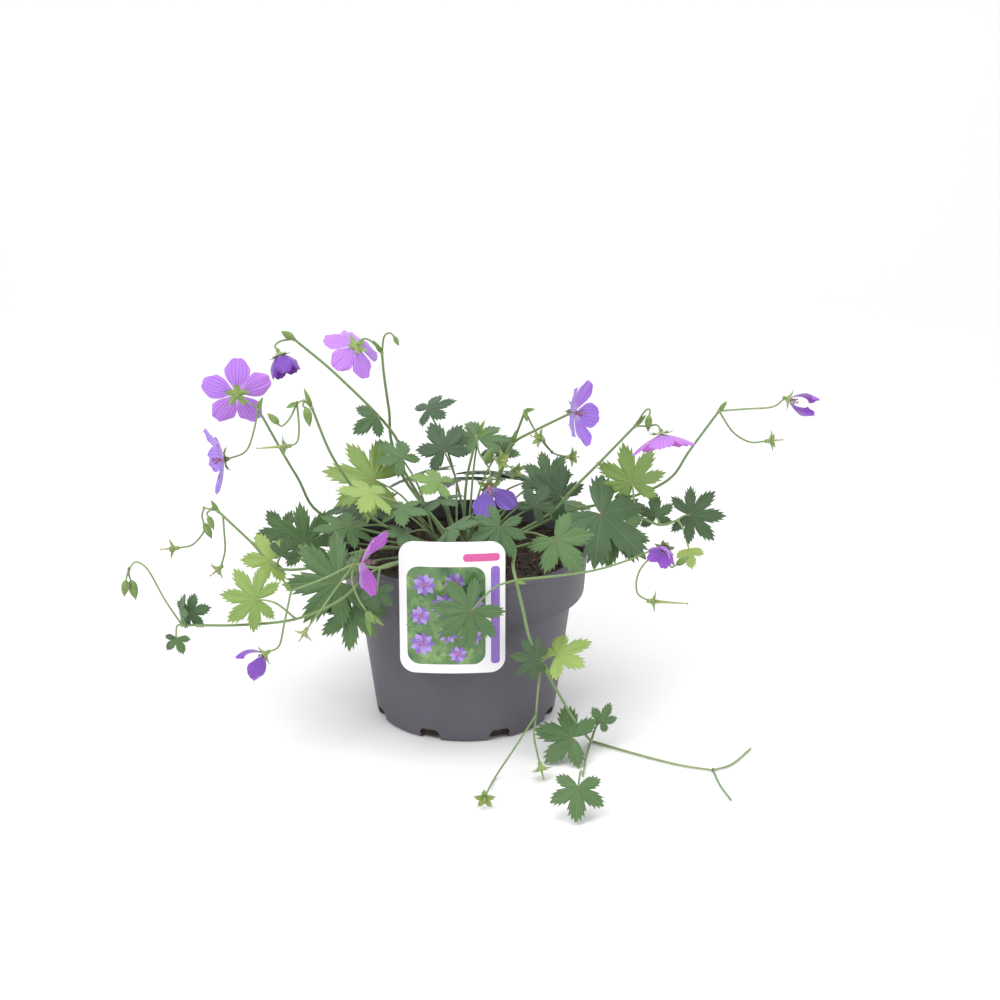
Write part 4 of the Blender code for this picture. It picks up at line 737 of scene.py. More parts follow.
def hairs(skin, places, chance, slot, long):
    """Fine tapered hairs standing off the surface; places hold (point, outward)."""
    for point, outward in places:
        lean = Vector((chance.uniform(-1, 1), chance.uniform(-1, 1), chance.uniform(-1, 1))) * HAIR_LEAN
        tip = point + (outward + lean).normalized() * long * chance.uniform(0.5, 1.1)
        across = outward.orthogonal().normalized() * HAIR_HALF
        beside = outward.normalized().cross(across)
        corners = [point + across, point - across * 0.5 + beside, point - across * 0.5 - beside, tip]
        skin.add(corners, [(0, 1, 3), (1, 2, 3), (2, 0, 3)], slot)


def fine_bud(skin, bud, chance):
    """A closed bud: five overlapping sepals round a plump body, ending in a point, with soft hairs."""
    line = bud.tip - bud.base
    ahead = line.normalized()
    across = ahead.orthogonal().normalized()
    beside = ahead.cross(across)
    sides = BUD_SIDES
    rings, furry = [], []
    for row in range(BUD_ROWS + 1):
        share = row / BUD_ROWS
        swell = math.sin(math.pi * min(share, 0.97) ** 0.72) ** 0.85 * BUD_PLUMP + 0.012
        if share > 0.8:
            swell = max(swell * (1 - (share - 0.8) * 3), 0.018)
        for side in range(sides):
            turn = math.tau * side / sides
            rib = 1 + 0.1 * abs(math.cos(2.5 * turn + share * 1.2))
            outward = turned(across, beside, turn)
            point = bud.base + line * share + outward * line.length * swell * rib
            rings.append(point)
            if 0 < row < 10 and chance.random() < 0.35:
                furry.append((point, (outward + ahead * 0.4).normalized()))
    faces = [*bands(BUD_ROWS + 1, sides), tuple(reversed(range(sides))),
             tuple(range(BUD_ROWS * sides, len(rings)))]
    uvs = [(index % sides / sides, index // sides / BUD_ROWS) for index in range(len(rings))]
    skin.add(rings, faces, CALYX, uvs, 0.3)
    hairs(skin, furry, chance, HAIR, BUD_HAIR)


def petal_turns(axis):
    """Two directions across an axis: downward, and to the right of one facing forward."""
    down = Vector((0, 0, -1))
    below = (down - axis * down.dot(axis)).normalized()
    return below, axis.cross(below)


def fine_calyx(skin, base, axis, spread, beak, chance):
    """Five pointed sepals, hairy outside, and a beak with a split style when the petals have fallen."""
    below, beside = petal_turns(axis)
    lean = math.radians(spread)
    furry = []
    for turn in SEPAL_TURNS:
        outward = turned(below, beside, math.radians(turn + chance.uniform(-5, 5)))
        grid, normals, uvs = [], [], []
        for row in range(SEPAL_ROWS + 1):
            share = row / SEPAL_ROWS
            tilt = lean * (0.55 + 0.6 * share)
            ahead = turned(axis, outward, tilt)
            face = axis * math.sin(tilt) - outward * math.cos(tilt)
            sideways = ahead.cross(face)
            half = SEPAL_POINT
            if share < 0.86:
                half = SEPAL_HALF * math.sin(math.pi * min(share * 0.93 + 0.07, 1.0)) ** 0.7
            centre = base - axis * 0.6 + ahead * (0.6 + share * SEPAL_LENGTH)
            grid.append([centre + sideways * half * place + face * abs(place) ** 2 * half * 0.35
                         for place in ACROSS])
            normals.append([face] * len(ACROSS))
            uvs.append([(0.5 + place / 2, share) for place in ACROSS])
            if row < SEPAL_ROWS:
                for place in (-1, -0.4, 0.4, 1):
                    spot = centre + sideways * half * place - face * 0.2
                    furry.append((spot, sideways * place * 0.7 - face))
        sheet(skin, grid, BRACT_THICK, normals, CALYX, uvs, 0.6)
    tube(skin, [base - axis * 2, base - axis * 0.8, base + axis * 0.6], [0.9, 1.7, 1.2], 10, CALYX)
    hairs(skin, [place for place in furry if chance.random() < 0.8], chance, HAIR, SEPAL_HAIR)
    if beak:
        long = beak + BEAK_FOOT
        points = [base + axis * long * share for share, _ in BEAK_SHAPE]
        tube(skin, points, [radius for _, radius in BEAK_SHAPE], 9, CALYX, 0.75)
        for turn in range(0, 360, 72):
            outward = turned(below, beside, math.radians(turn))
            foot = base + axis * long * 0.93
            tube(skin, [foot, foot + axis * 0.9 + outward * 0.35, foot + axis * 1.6 + outward * 1.1],
                 [0.22, 0.2, 0.1], 5, STYLE)


def petal_shape(share):
    """How wide a petal is along its length, as a share of its widest."""
    if share < PETAL_WIDEST:
        return math.sin(math.pi / 2 * share / PETAL_WIDEST) ** 0.85
    return 1 - 0.12 * ((share - PETAL_WIDEST) / 0.28) ** 2


def fine_bloom(bloom, chance, materials):
    """The petals with wavy notched ends, and the style and stamens in their middle."""
    skin = Skin()
    axis = Vector(bloom.toward).normalized()
    below, beside = petal_turns(axis)
    lean = math.radians(bloom.spread)
    foot = bloom.base + axis * PETAL_FOOT
    turns = sorted(turn % 360 for turn in bloom.petals)
    closest = min((after - before) % 360 or 360 for before, after in zip(turns, [*turns[1:], turns[0]]))
    gap_share = min(math.tan(math.radians(min(closest, 170) / 2)), PETAL_CROWD_MOST)
    bulge = PETAL_CUP
    if lean < CLOSED_LEAN:
        gap_share, bulge = gap_share * CLOSED_CROWD, CLOSED_CUP
    for turn in bloom.petals:
        outward = turned(below, beside, math.radians(turn + chance.uniform(-4, 4)))
        tilt = lean + math.radians(chance.uniform(-5, 5))
        ahead = turned(axis, outward, tilt)
        face = axis * math.sin(tilt) - outward * math.cos(tilt)
        sideways = ahead.cross(face)
        phase = chance.uniform(0, 6)
        shed = chance.uniform(*BLOOM_TINTS[bloom.name])
        crowd = math.sin(lean) * gap_share
        grid, normals, uvs = [], [], []
        for row in range(PETAL_ROWS):
            share = row / (PETAL_ROWS - 1)
            line, line_normals, line_uvs = [], [], []
            for column in range(PETAL_COLUMNS):
                place = -1 + 2 * column / (PETAL_COLUMNS - 1)
                wide = PETAL_HALF * bloom.length / PETAL_LENGTH * petal_shape(share)
                wide = min(wide, max(share * bloom.length * crowd, 0.5))
                notch = 0.035 * math.exp(-((place / 0.22) ** 2)) + 0.3 * abs(place) ** 2.6
                reach = share * (1 - notch * share**3) * bloom.length
                ruffle = 0.022 * math.sin(place * 7 + phase) * share**2
                ruffle += 0.012 * math.sin(place * 15 + phase * 2)
                cup = PETAL_ROLL * place * place * share - bulge * math.sin(math.pi * share)
                curl = -0.04 * share**3
                line.append(foot + outward * 0.3 + ahead * reach + sideways * wide * place
                            + face * bloom.length * (cup + ruffle * share + curl))
                line_normals.append(face)
                line_uvs.append((0.5 + place / 2, share))
            grid.append(line)
            normals.append(line_normals)
            uvs.append(line_uvs)
        sheet(skin, grid, FINE_PETAL_THICK, normals, 0, uvs, shed)
    start = bloom.base + axis * 0.9
    for turn in range(0, 360, 36):
        outward = turned(below, beside, math.radians(turn + chance.uniform(-8, 8)))
        reach = bloom.length * STYLE_SHARE * chance.uniform(0.6, 0.85)
        middle = start + axis * reach * 0.6 + outward * 1.3
        tip = start + axis * reach + outward * chance.uniform(1.4, 2.6)
        tube(skin, [start + outward * 0.4, middle, tip], [0.25, 0.2, 0.16], 5, 2)
        tube(skin, [tip - outward * 0.5, tip, tip + outward * 0.6], [0.2, 0.5, 0.2], 6, 3)
    long = bloom.length * STYLE_SHARE
    tube(skin, [start, start + axis * 2.2, start + axis * long * 0.55, start + axis * long * 0.9],
         [0.9, 1.2, 0.55, 0.35], 9, 1)
    for turn in range(0, 360, 72):
        outward = turned(below, beside, math.radians(turn))
        top = start + axis * long * 0.86
        tube(skin, [top, top + axis * 1.1 + outward * 0.5, top + axis * 1.5 + outward * 1.5],
             [0.28, 0.24, 0.12], 6, 2)
    piece = skin.make(bloom.name + "_petals", materials)
    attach(piece, "root")
    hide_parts(bloom.name)


def nearest(point, lines):
    """The place on the middle lines that lies nearest to the point."""
    best = None
    for points in lines:
        for start, end in zip(points, points[1:]):
            line = end - start
            if line.length_squared == 0:
                continue
            share = min(max((point - start).dot(line) / line.length_squared, 0.0), 1.0)
            place = start + line * share
            if best is None or (place - point).length < (best - point).length:
                best = place
    return best


def petiole_path(start, base):
    """A leaf stalk that rises before it reaches the leaf, and clears the rim of the pot."""
    line = base - start
    middle = start + line * 0.5 + Vector((0, 0, line.length * PETIOLE_RISE))
    flat_start = Vector((start.x, start.y))
    flat_line = Vector((line.x, line.y))
    if flat_start.length < POT_RIM_R < Vector((base.x, base.y)).length and base.z < RIM_CLEAR_Z + 10:
        share = 0.0
        while (flat_start + flat_line * share).length < POT_RIM_R:
            share += 0.02
        middle = start + line * share
        middle.z = max(middle.z, RIM_CLEAR_Z)
    return smooth_path([start, middle, base], CURVE_STEPS)


def fine_stem(stem, chance, materials):
    """One leafy stem or leaf tuft."""
    skin = Skin()
    foot = Vector((*stem.root, SOIL_TOP_Z - HOLE_DEPTH + 0.4))
    collar = Vector((*stem.root, SOIL_CLEAR_Z))
    lines = []
    if stem.path:
        points = [foot, *smooth_path([collar, *stem.path], CURVE_STEPS)]
        tube(skin, points, taper(STEM_R, STEM_TIP_R, len(points)), 10, STALK, 0.5)
        lines.append(points)
        end = points[-1]
        knot = UP.normalized() * 1.5
        tube(skin, [end - knot, end, end + knot], [0.9, 1.6, 0.8], 8, STALK, 0.8)
    else:
        points = [foot, Vector((*stem.root, CROWN_TOP_Z - 1.5)), Vector((*stem.root, CROWN_TOP_Z))]
        tube(skin, points, [CROWN_R, CROWN_R, 0.8], 10, STALK, 0.5)
        lines.append(points)
    for twig in stem.twigs:
        points = smooth_path(twig.path, CURVE_STEPS)
        tube(skin, points, taper(twig.radius, TWIG_R * 0.9, len(points)), 8, STALK, chance.uniform(0.4, 0.75))
        lines.append(points)
        joint = points[0]
        knot = Vector((0, 0, 1.3))
        tube(skin, [joint - knot, joint, joint + knot], [0.7, 1.3, 0.7], 8, STALK, 0.8)
    for order, leaf in enumerate(stem.leaves):
        crown = Vector((*stem.root, SOIL_CLEAR_Z + CROWN_STEP * order))
        start = nearest(leaf.start, lines) if leaf.start else crown
        tint = LIGHT_LEAVES.get((stem.name, order), chance.uniform(0.08, 0.4))
        if leaf.lobes == 1:
            fine_bract(skin, start, leaf.tip, leaf.face, BLADE, 0.7)
            continue
        along, _, face, _ = leaf_frame(leaf)
        points = petiole_path(start, leaf.base)
        points[-1] = leaf.base - face * 0.35
        points.append(leaf.base + along * 1.6 - face * 0.5)
        tube(skin, points, taper(0.95, 0.62, len(points)), 8, STALK, 0.35 + tint * 0.5)
        fine_leaf(skin, leaf, chance, BLADE, tint)
    for bud in stem.buds:
        fine_bud(skin, bud, chance)
    for calyx in stem.calyces:
        axis = (calyx.toward - calyx.base).normalized()
        fine_calyx(skin, calyx.base, axis, CALYX_SPREAD, calyx.beak, chance)
    for head in [*stem.buds, *stem.calyces, *stem.blooms]:
        start = nearest(head.base, lines)
        if (start - head.base).length > 0.5:
            tube(skin, [start, head.base], [TWIG_R, TWIG_R], 8, STALK, 0.6)
    for bloom in stem.blooms:
        spread = max(bloom.spread + SEPAL_LEAN, CALYX_SPREAD + 10)
        fine_calyx(skin, bloom.base, Vector(bloom.toward).normalized(), spread * 0.92, 0, chance)
    piece = skin.make(stem.name + "_fine", materials)
    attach(piece, "root")
    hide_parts(stem.name)


def polar(radius, turn, height):
    """The point at a radius, an angle in radians and a height."""
    return Vector((radius * math.cos(turn), radius * math.sin(turn), height))


def lathe(name, profile, sides, material):
    """A body turned about the Z axis from (radius, height) pairs; radius 0 is a single point."""
    corners, rings = [], []
    for radius, height in profile:
        if radius == 0:
            rings.append([len(corners)] * sides)
            corners.append(Vector((0, 0, height)))
        else:
            rings.append(list(range(len(corners), len(corners) + sides)))
            corners.extend(polar(radius, math.tau * side / sides, height) for side in range(sides))
    faces = []
    for low_ring, high_ring in zip(rings, rings[1:]):
        for side in range(sides):
            far = (side + 1) % sides
            face = []
            for index in (low_ring[side], low_ring[far], high_ring[far], high_ring[side]):
                if index not in face:
                    face.append(index)
            if len(face) > 2:
                faces.append(tuple(face))
    skin = Skin()
    skin.add(corners, faces, 0)
    return skin.make(name, [material])


def rounded(profile, radius):
    """The same profile with its corners rounded off."""
    result = [Vector(profile[0])]
    for before, corner, after in zip(profile, profile[1:], profile[2:]):
        before, corner, after = Vector(before), Vector(corner), Vector(after)
        back = (before - corner).normalized() * min(radius, (before - corner).length * 0.4)
        ahead = (after - corner).normalized() * min(radius, (after - corner).length * 0.4)
        for share in (0.0, 0.25, 0.5, 0.75, 1.0):
            result.append((corner + back) * (1 - share) ** 2 + corner * 2 * share * (1 - share)
                          + (corner + ahead) * share**2)
    result.append(Vector(profile[-1]))
    return [(point.x, point.y) for point in result]


def make_pot(material):
    """The pot with a rolled rim, a stepped collar and drain notches round its foot."""
    outside = POT_OUTSIDE[-3:0:-1]
    inside = [(radius - POT_WALL, height + lift) for (radius, height), lift in zip(outside, INSIDE_LIFTS)]
    profile = [(0, 0), (58, 0), *POT_OUTSIDE, (inside[0][0], POT_HEIGHT), *inside, (0, POT_FLOOR)]
    pot = lathe("pot_fine", [(0.0, 0.0), *rounded(profile, EDGE_ROUND)[1:-1], (0.0, POT_FLOOR)],
                POT_FINE_SIDES, material)
    cutters = bpy.data.collections.new("pot_cutters")
    bpy.context.scene.collection.children.link(cutters)
    for vent in range(POT_VENTS):
        turn = math.tau * (vent + 0.5) / POT_VENTS
        spin = Matrix.Rotation(turn, 3, "Z")
        skin = Skin()
        corners = []
        for x in (POT_FOOT_R - VENT_DEPTH, POT_FOOT_R + VENT_DEPTH):
            for y, z in ((-0.5, -1), (0.5, -1), (0.5, 0.7), (0.34, 1), (-0.34, 1), (-0.5, 0.7)):
                corners.append(spin @ Vector((x, y * VENT_WIDTH, z * VENT_HEIGHT if z > 0 else -1)))
        faces = [tuple(range(6)), tuple(reversed(range(6, 12)))]
        faces += [(side, side + 6, (side + 1) % 6 + 6, (side + 1) % 6) for side in range(6)]
        skin.add(corners, faces, 0)
        cutter = skin.make("cutter", [material])
        bpy.context.scene.collection.objects.unlink(cutter)
        cutters.objects.link(cutter)
    for body in [pot, *cutters.objects]:
        face_outward(body)
    cut = pot.modifiers.new("Carve", "BOOLEAN")
    cut.operation = "DIFFERENCE"
    cut.operand_type = "COLLECTION"
    cut.collection = cutters
    cut.solver = "MANIFOLD"
    mesh = bpy.data.meshes.new_from_object(pot.evaluated_get(bpy.context.evaluated_depsgraph_get()))
    pot.modifiers.clear()
    pot.data = mesh
    for body in list(cutters.objects):
        bpy.data.objects.remove(body)
    bpy.data.collections.remove(cutters)
    mesh.set_sharp_from_angle(angle=CREASE)
    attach(pot, "root")
    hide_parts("pot")


def face_outward(body):
    """Turns the faces of a mesh outward."""
    shape = bmesh.new()
    shape.from_mesh(body.data)
    bmesh.ops.recalc_face_normals(shape, faces=shape.faces)
    shape.to_mesh(body.data)
    shape.free()


def make_soil(material, fibre):
    """Crumbly peat with light fibres."""
    chance = random.Random(3)
    inset = POT_WALL + PEAT_GAP
    skin = Skin()
    sides, rows = PEAT_SIDES, PEAT_ROWS
    edge_r = POT_COLLAR_FOOT_R + 1.8 - inset
    corners = []
    for row in range(rows):
        radius = edge_r * (1 - row / rows)
        for side in range(sides):
            place = polar(radius, math.tau * side / sides, 0)
            lump = noise.noise(place * 0.09) * 2.2 + noise.noise(place * 0.35 + Vector((9, 1, 4))) * 1.4
            lump += noise.noise(place * 1.1) * 0.7
            corners.append(place + Vector((0, 0, SOIL_TOP_Z - 0.6 + lump - (1.5 if row == 0 else 0))))
    faces = bands(rows, sides)
    corners.append(Vector((0, 0, SOIL_TOP_Z)))
    faces += [((rows - 1) * sides + side, (rows - 1) * sides + (side + 1) % sides, rows * sides)
              for side in range(sides)]
    skin.add(corners, faces, 0)
    wall = [(POT_FOOT_R - inset, POT_FLOOR + 0.3), (POT_SHOULDER_R - inset, POT_SHOULDER_Z + 1.8),
            (POT_COLLAR_FOOT_R - inset, POT_COLLAR_FOOT_Z + 1.8), (edge_r, SOIL_TOP_Z - 2)]
    rings = []
    for radius, height in wall:
        rings.extend(ring(Vector((0, 0, height)), Vector((1, 0, 0)), Vector((0, 1, 0)), radius, WALL_SIDES))
    skin.add(rings, [tuple(reversed(range(WALL_SIDES))), *bands(len(wall), WALL_SIDES)], 0)
    for _ in range(CRUMBS):
        turn, radius = chance.uniform(0, math.tau), edge_r * math.sqrt(chance.random()) * 0.97
        size = chance.uniform(0.6, 2.0)
        centre = polar(radius, turn, SOIL_TOP_Z + chance.uniform(-0.4, 0.9))
        lump = [centre + Vector(spot).normalized() * size * chance.uniform(0.7, 1.1) for spot in CRUMB_SPOTS]
        skin.add(lump, CRUMB_FACES, 0)
    for _ in range(FIBRES):
        turn, radius = chance.uniform(0, math.tau), edge_r * math.sqrt(chance.random()) * 0.93
        start = polar(radius, turn, SOIL_TOP_Z + 1)
        way = Vector((chance.uniform(-1, 1), chance.uniform(-1, 1), chance.uniform(-0.1, 0.25))).normalized()
        bend = Vector((chance.uniform(-1, 1), chance.uniform(-1, 1), 0.6))
        long = chance.uniform(2, 6)
        tube(skin, [start, start + way * long / 2 + bend * 0.4, start + way * long], [0.16, 0.22, 0.12], 5, 1)
    soil = skin.make("soil_fine", [material, fibre])
    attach(soil, "root")
    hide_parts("soil")


def card_point(across, height, lift):
    """A point on the label's front face, lifted off it."""
    turn = across / LABEL_BEND_R
    radius = LABEL_BEND_R + LABEL_THICK / 2 + lift
    bend_y = LABEL_Y + LABEL_BEND_R
    return Vector((LABEL_X + radius * math.sin(turn), bend_y - radius * math.cos(turn), height))


def card_panel(skin, left, foot, right, top, corner, lift, slot):
    """A printed or solid area with round corners, following the bend of the card."""
    columns = []
    steps = 8
    for index in range(steps + 1):
        turn = math.pi / 2 * index / steps
        columns.append((left + corner * (1 - math.cos(turn)), corner * (1 - math.sin(turn))))
    middle = [(left + corner + (right - left - 2 * corner) * index / 10, 0.0) for index in range(1, 10)]
    columns = columns + middle + [(left + right - across, cut) for across, cut in reversed(columns)]
    points = []
    for across, cut in columns:
        points += [card_point(across, foot + cut, lift), card_point(across, top - cut, lift)]
    faces = [(2 * index, 2 * index + 2, 2 * index + 3, 2 * index + 1) for index in range(len(columns) - 1)]
    uvs = [(point.x / 50, point.z / 50) for point in points]
    skin.add(points, faces, slot, uvs)
    return points


def card_leaf(skin, across, height, long, turn, slot, lift, wide=0.28):
    """A printed pointed oval."""
    points = [card_point(across, height, lift)]
    for index in range(25):
        share = index / 24 * 2
        side = 1 if share <= 1 else -1
        run = share if share <= 1 else 2 - share
        x = side * long * wide * math.sin(math.pi * run)
        y = long * run
        points.append(card_point(across + x * math.cos(turn) - y * math.sin(turn),
                                 height + x * math.sin(turn) + y * math.cos(turn), lift))
    faces = [(0, index, index + 1) for index in range(1, 25)]
    skin.add(points, [face[::-1] for face in faces], slot)


def make_label(materials):
    """The plant label: a card with generic printed fields, hooked over the rim by a tongue."""
    skin = Skin()
    half = LABEL_WIDTH / 2
    front = card_panel(skin, -half, LABEL_FOOT_Z, half, LABEL_TOP_Z, LABEL_CORNER, 0.0, 0)
    back = card_panel(skin, -half, LABEL_FOOT_Z, half, LABEL_TOP_Z, LABEL_CORNER, -LABEL_THICK, 0)
    loop = list(range(0, len(front), 2)) + list(range(len(front) - 1, 0, -2))
    edge = [front[index] for index in loop] + [back[index] for index in loop]
    count = len(loop)
    skin.add(edge, [(index, (index + 1) % count, (index + 1) % count + count, index + count)
                    for index in range(count)], 0)
    tongue = []
    for across in (-TONGUE_WIDTH / 2, TONGUE_WIDTH / 2):
        for y, z in ((LABEL_Y, BRIDGE_Z), (LABEL_Y + 1.5, BRIDGE_Z + 1.4), (TONGUE_Y - 2, BRIDGE_Z + 1.4),
                     (TONGUE_Y, BRIDGE_Z), (TONGUE_Y, TONGUE_FOOT_Z)):
            tongue.append(Vector((LABEL_X + across, y, z)))
    skin.add(tongue, [(index, index + 1, index + 6, index + 5) for index in range(4)], 0)
    card_panel(skin, -33, 76, 24, 152, 9, 0.04, 1)
    card_panel(skin, 8, 156, 34.5, 162, 2.5, 0.04, 2)
    card_panel(skin, 28, 76, 34.5, 152, 2.5, 0.04, 3)
    chance = random.Random(12)
    for index in range(26):
        across, height = chance.uniform(-29, 18), chance.uniform(80, 140)
        long, turn = chance.uniform(6, 12), chance.uniform(0, math.tau)
        card_leaf(skin, across, height, long, turn, 4, 0.06 + index * 0.002)
    order = 0
    for across, height, size in PRINTED_FLOWERS:
        for petal in range(9):
            card_leaf(skin, across, height, size, math.tau * petal / 9 + height, 3 if petal % 2 else 5,
                      0.12 + order * 0.003, 0.24)
            order += 1
        card_leaf(skin, across, height - 1.4, 3.0, 0.0, 2, 0.12 + order * 0.003, 0.42)
        order += 1
    label = skin.make("label_fine", materials)
    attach(label, "root")
    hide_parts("label")


class Surface:
    """A material in the making: its node tree, and the ways in which nodes are added to it."""

    def __init__(self, name, roughness=0.55, colour=(0.5, 0.5, 0.5)):
        self.material = bpy.data.materials.new(name)
        self.material.use_nodes = True
        self.nodes, self.links = self.material.node_tree.nodes, self.material.node_tree.links
        self.shader = self.nodes["Principled BSDF"]
        self.set("Roughness", roughness)
        self.set("Base Color", (*colour, 1))

    def set(self, socket, amount):
        """Sets one of the shader's own sockets."""
        self.shader.inputs[socket].default_value = amount

    def value(self, operation, first, second=None, third=None):
        """A Math node; its inputs may be numbers or sockets."""
        node = self.nodes.new("ShaderNodeMath")
        node.operation = operation
        for index, item in enumerate((first, second, third)):
            if isinstance(item, (int, float)):
                node.inputs[index].default_value = item
            elif item is not None:
                self.links.new(item, node.inputs[index])
        return node.outputs[0]

    def ramp(self, source, stops):
        """A smooth colour ramp over (place, colour) stops."""
        node = self.nodes.new("ShaderNodeValToRGB")
        node.color_ramp.interpolation = "EASE"
        elements = node.color_ramp.elements
        while len(elements) < len(stops):
            elements.new(0.5)
        for element, (place, colour) in zip(elements, stops):
            element.position = place
            element.color = (*colour, 1)
        self.links.new(source, node.inputs[0])
        return node.outputs[0]

    def grey_ramp(self, source, stops):
        """A ramp over (place, lightness) stops."""
        return self.ramp(source, [(place, (light, light, light)) for place, light in stops])

    def mix(self, share, first, second):
        """A mix of two colours, each a socket or a plain colour."""
        node = self.nodes.new("ShaderNodeMix")
        node.data_type = "RGBA"
        for socket, item in ((node.inputs[0], share), (node.inputs[6], first), (node.inputs[7], second)):
            if isinstance(item, tuple):
                socket.default_value = (*item, 1)
            elif isinstance(item, (int, float)):
                socket.default_value = item
            else:
                self.links.new(item, socket)
        return node.outputs[2]

    def noise(self, scale, detail=3.0):
        """Soft noise over the object's own coordinates."""
        place = self.nodes.new("ShaderNodeTexCoord")
        node = self.nodes.new("ShaderNodeTexNoise")
        node.inputs["Scale"].default_value = scale
        node.inputs["Detail"].default_value = detail
        self.links.new(place.outputs["Object"], node.inputs["Vector"])
        return node.outputs["Fac"]

    def places(self):
        """The two coordinates laid on the mesh."""
        place = self.nodes.new("ShaderNodeTexCoord")
        split = self.nodes.new("ShaderNodeSeparateXYZ")
        self.links.new(place.outputs["UV"], split.inputs[0])
        return split.outputs[0], split.outputs[1]

    def tint(self):
        """The lightness that each piece of the mesh carries."""
        node = self.nodes.new("ShaderNodeAttribute")
        node.attribute_name = "tint"
        return node.outputs["Fac"]

    def colour(self, source):
        """Gives the surface its colour."""
        self.links.new(source, self.shader.inputs["Base Color"])

    def bump(self, height, strength, distance=0.0005):
        """Fine relief."""
        node = self.nodes.new("ShaderNodeBump")
        node.inputs["Strength"].default_value = strength
        node.inputs["Distance"].default_value = distance
        self.links.new(height, node.inputs["Height"])
        self.links.new(node.outputs[0], self.shader.inputs["Normal"])


def leaf_material():
    """Dull green blade, paler along the veins, from dark bluish to light yellow-green."""
    surface = Surface("leaf_blade", 0.5)
    across, reach = surface.places()
    off = surface.value("ABSOLUTE", surface.value("SUBTRACT", across, 0.5))
    wide = surface.value("MULTIPLY", off, surface.value("ADD", reach, 0.15))
    rib = surface.value("SMOOTH_MIN", surface.value("MULTIPLY", wide, 60.0), 1.0, 0.3)
    side = surface.value("SUBTRACT", surface.value("MULTIPLY", reach, 5.2),
                         surface.value("MULTIPLY", off, 5.5))
    side = surface.value("SUBTRACT", surface.value("FRACT", side), 0.5)
    side = surface.value("ABSOLUTE", side)
    side = surface.value("MINIMUM", surface.value("MULTIPLY", side, 9.0), 1.0)
    side = surface.value("ADD", surface.value("MULTIPLY", side, 0.5), 0.5)
    vein = surface.value("MINIMUM", rib, side)
    tint = surface.tint()
    green = surface.ramp(tint, [(0.0, (0.022, 0.058, 0.026)), (0.35, (0.045, 0.115, 0.034)),
                                (0.65, (0.115, 0.23, 0.042)), (1.0, (0.26, 0.39, 0.075))])
    pale = surface.ramp(tint, [(0.0, (0.07, 0.135, 0.055)), (0.5, (0.15, 0.27, 0.08)),
                               (1.0, (0.38, 0.5, 0.15))])
    cloud = surface.noise(60.0)
    green = surface.mix(surface.value("MULTIPLY", cloud, 0.5), green, pale)
    colour = surface.mix(vein, pale, green)
    foot = surface.grey_ramp(reach, [(0.0, 1), (0.06, 0.35), (0.13, 0)])
    colour = surface.mix(surface.value("MULTIPLY", foot, 0.3), colour, (0.22, 0.09, 0.05))
    surface.colour(colour)
    cloud = surface.value("MULTIPLY", cloud, 0.6)
    surface.bump(surface.value("ADD", vein, cloud), 0.5)
    surface.set("Subsurface Weight", 0.08)
    surface.set("Subsurface Scale", 0.002)
    surface.set("Sheen Weight", 0.15)
    return surface.material


def plain_green(name, stops, roughness=0.55, scale=250.0):
    """A soft green surface whose colour follows the tint."""
    surface = Surface(name, roughness)
    cloud = surface.noise(scale)
    place = surface.value("ADD", surface.tint(), surface.value("MULTIPLY",
                                                               surface.value("SUBTRACT", cloud, 0.5), 0.5))
    surface.colour(surface.ramp(place, stops))
    surface.bump(cloud, 0.25)
    surface.set("Sheen Weight", 0.25)
    return surface.material


def petal_material():
    """Lilac to violet petals with darker branching veins and a pale foot."""
    surface = Surface("petal", 0.5)
    across, reach = surface.places()
    centred = surface.value("SUBTRACT", across, 0.5)
    fan = surface.value("MULTIPLY", centred, 7.0)
    fan = surface.value("ADD", fan, surface.value("MULTIPLY",
                                                  surface.value("SUBTRACT", surface.noise(90.0), 0.5), 0.7))
    line = surface.value("ABSOLUTE", surface.value("SUBTRACT", surface.value("FRACT", fan), 0.5))
    vein = surface.value("MINIMUM", surface.value("MULTIPLY", line, 7.0), 1.0)
    fade = surface.grey_ramp(reach, [(0.0, 0.2), (0.3, 0.9), (0.95, 0.35)])
    strength = surface.value("MULTIPLY", surface.value("SUBTRACT", 1.0, vein), fade)
    hue = surface.ramp(surface.tint(), [(0.0, (0.27, 0.17, 0.72)), (0.25, (0.36, 0.17, 0.74)),
                                        (0.45, (0.46, 0.2, 0.72)), (0.55, (0.45, 0.1, 0.58)),
                                        (0.75, (0.28, 0.09, 0.6)), (1.0, (0.13, 0.03, 0.36))])
    pale = surface.mix(0.45, hue, (0.85, 0.75, 0.92))
    body = surface.mix(surface.grey_ramp(reach, [(0.05, 0), (0.35, 1)]), pale, hue)
    colour = surface.mix(strength, body, (0.1, 0.015, 0.28))
    surface.colour(colour)
    surface.bump(vein, 0.25)
    surface.set("Subsurface Weight", 0.15)
    surface.set("Subsurface Scale", 0.002)
    surface.set("Sheen Weight", 0.3)
    return surface.material


def pot_material():
    """Dull grey moulded plastic with faint dust."""
    surface = Surface("pot_grey", 0.52)
    cloud = surface.noise(9.0, 6.0)
    grain = surface.noise(900.0, 2.0)
    colour = surface.ramp(cloud, [(0.35, (0.085, 0.08, 0.098)), (0.7, (0.108, 0.102, 0.122))])
    speck = surface.grey_ramp(surface.noise(320.0, 5.0), [(0.66, 0), (0.76, 1)])
    colour = surface.mix(surface.value("MULTIPLY", speck, 0.16), colour, (0.3, 0.27, 0.25))
    surface.colour(colour)
    surface.bump(grain, 0.12, 0.0002)
    surface.set("Specular IOR Level", 0.4)
    return surface.material


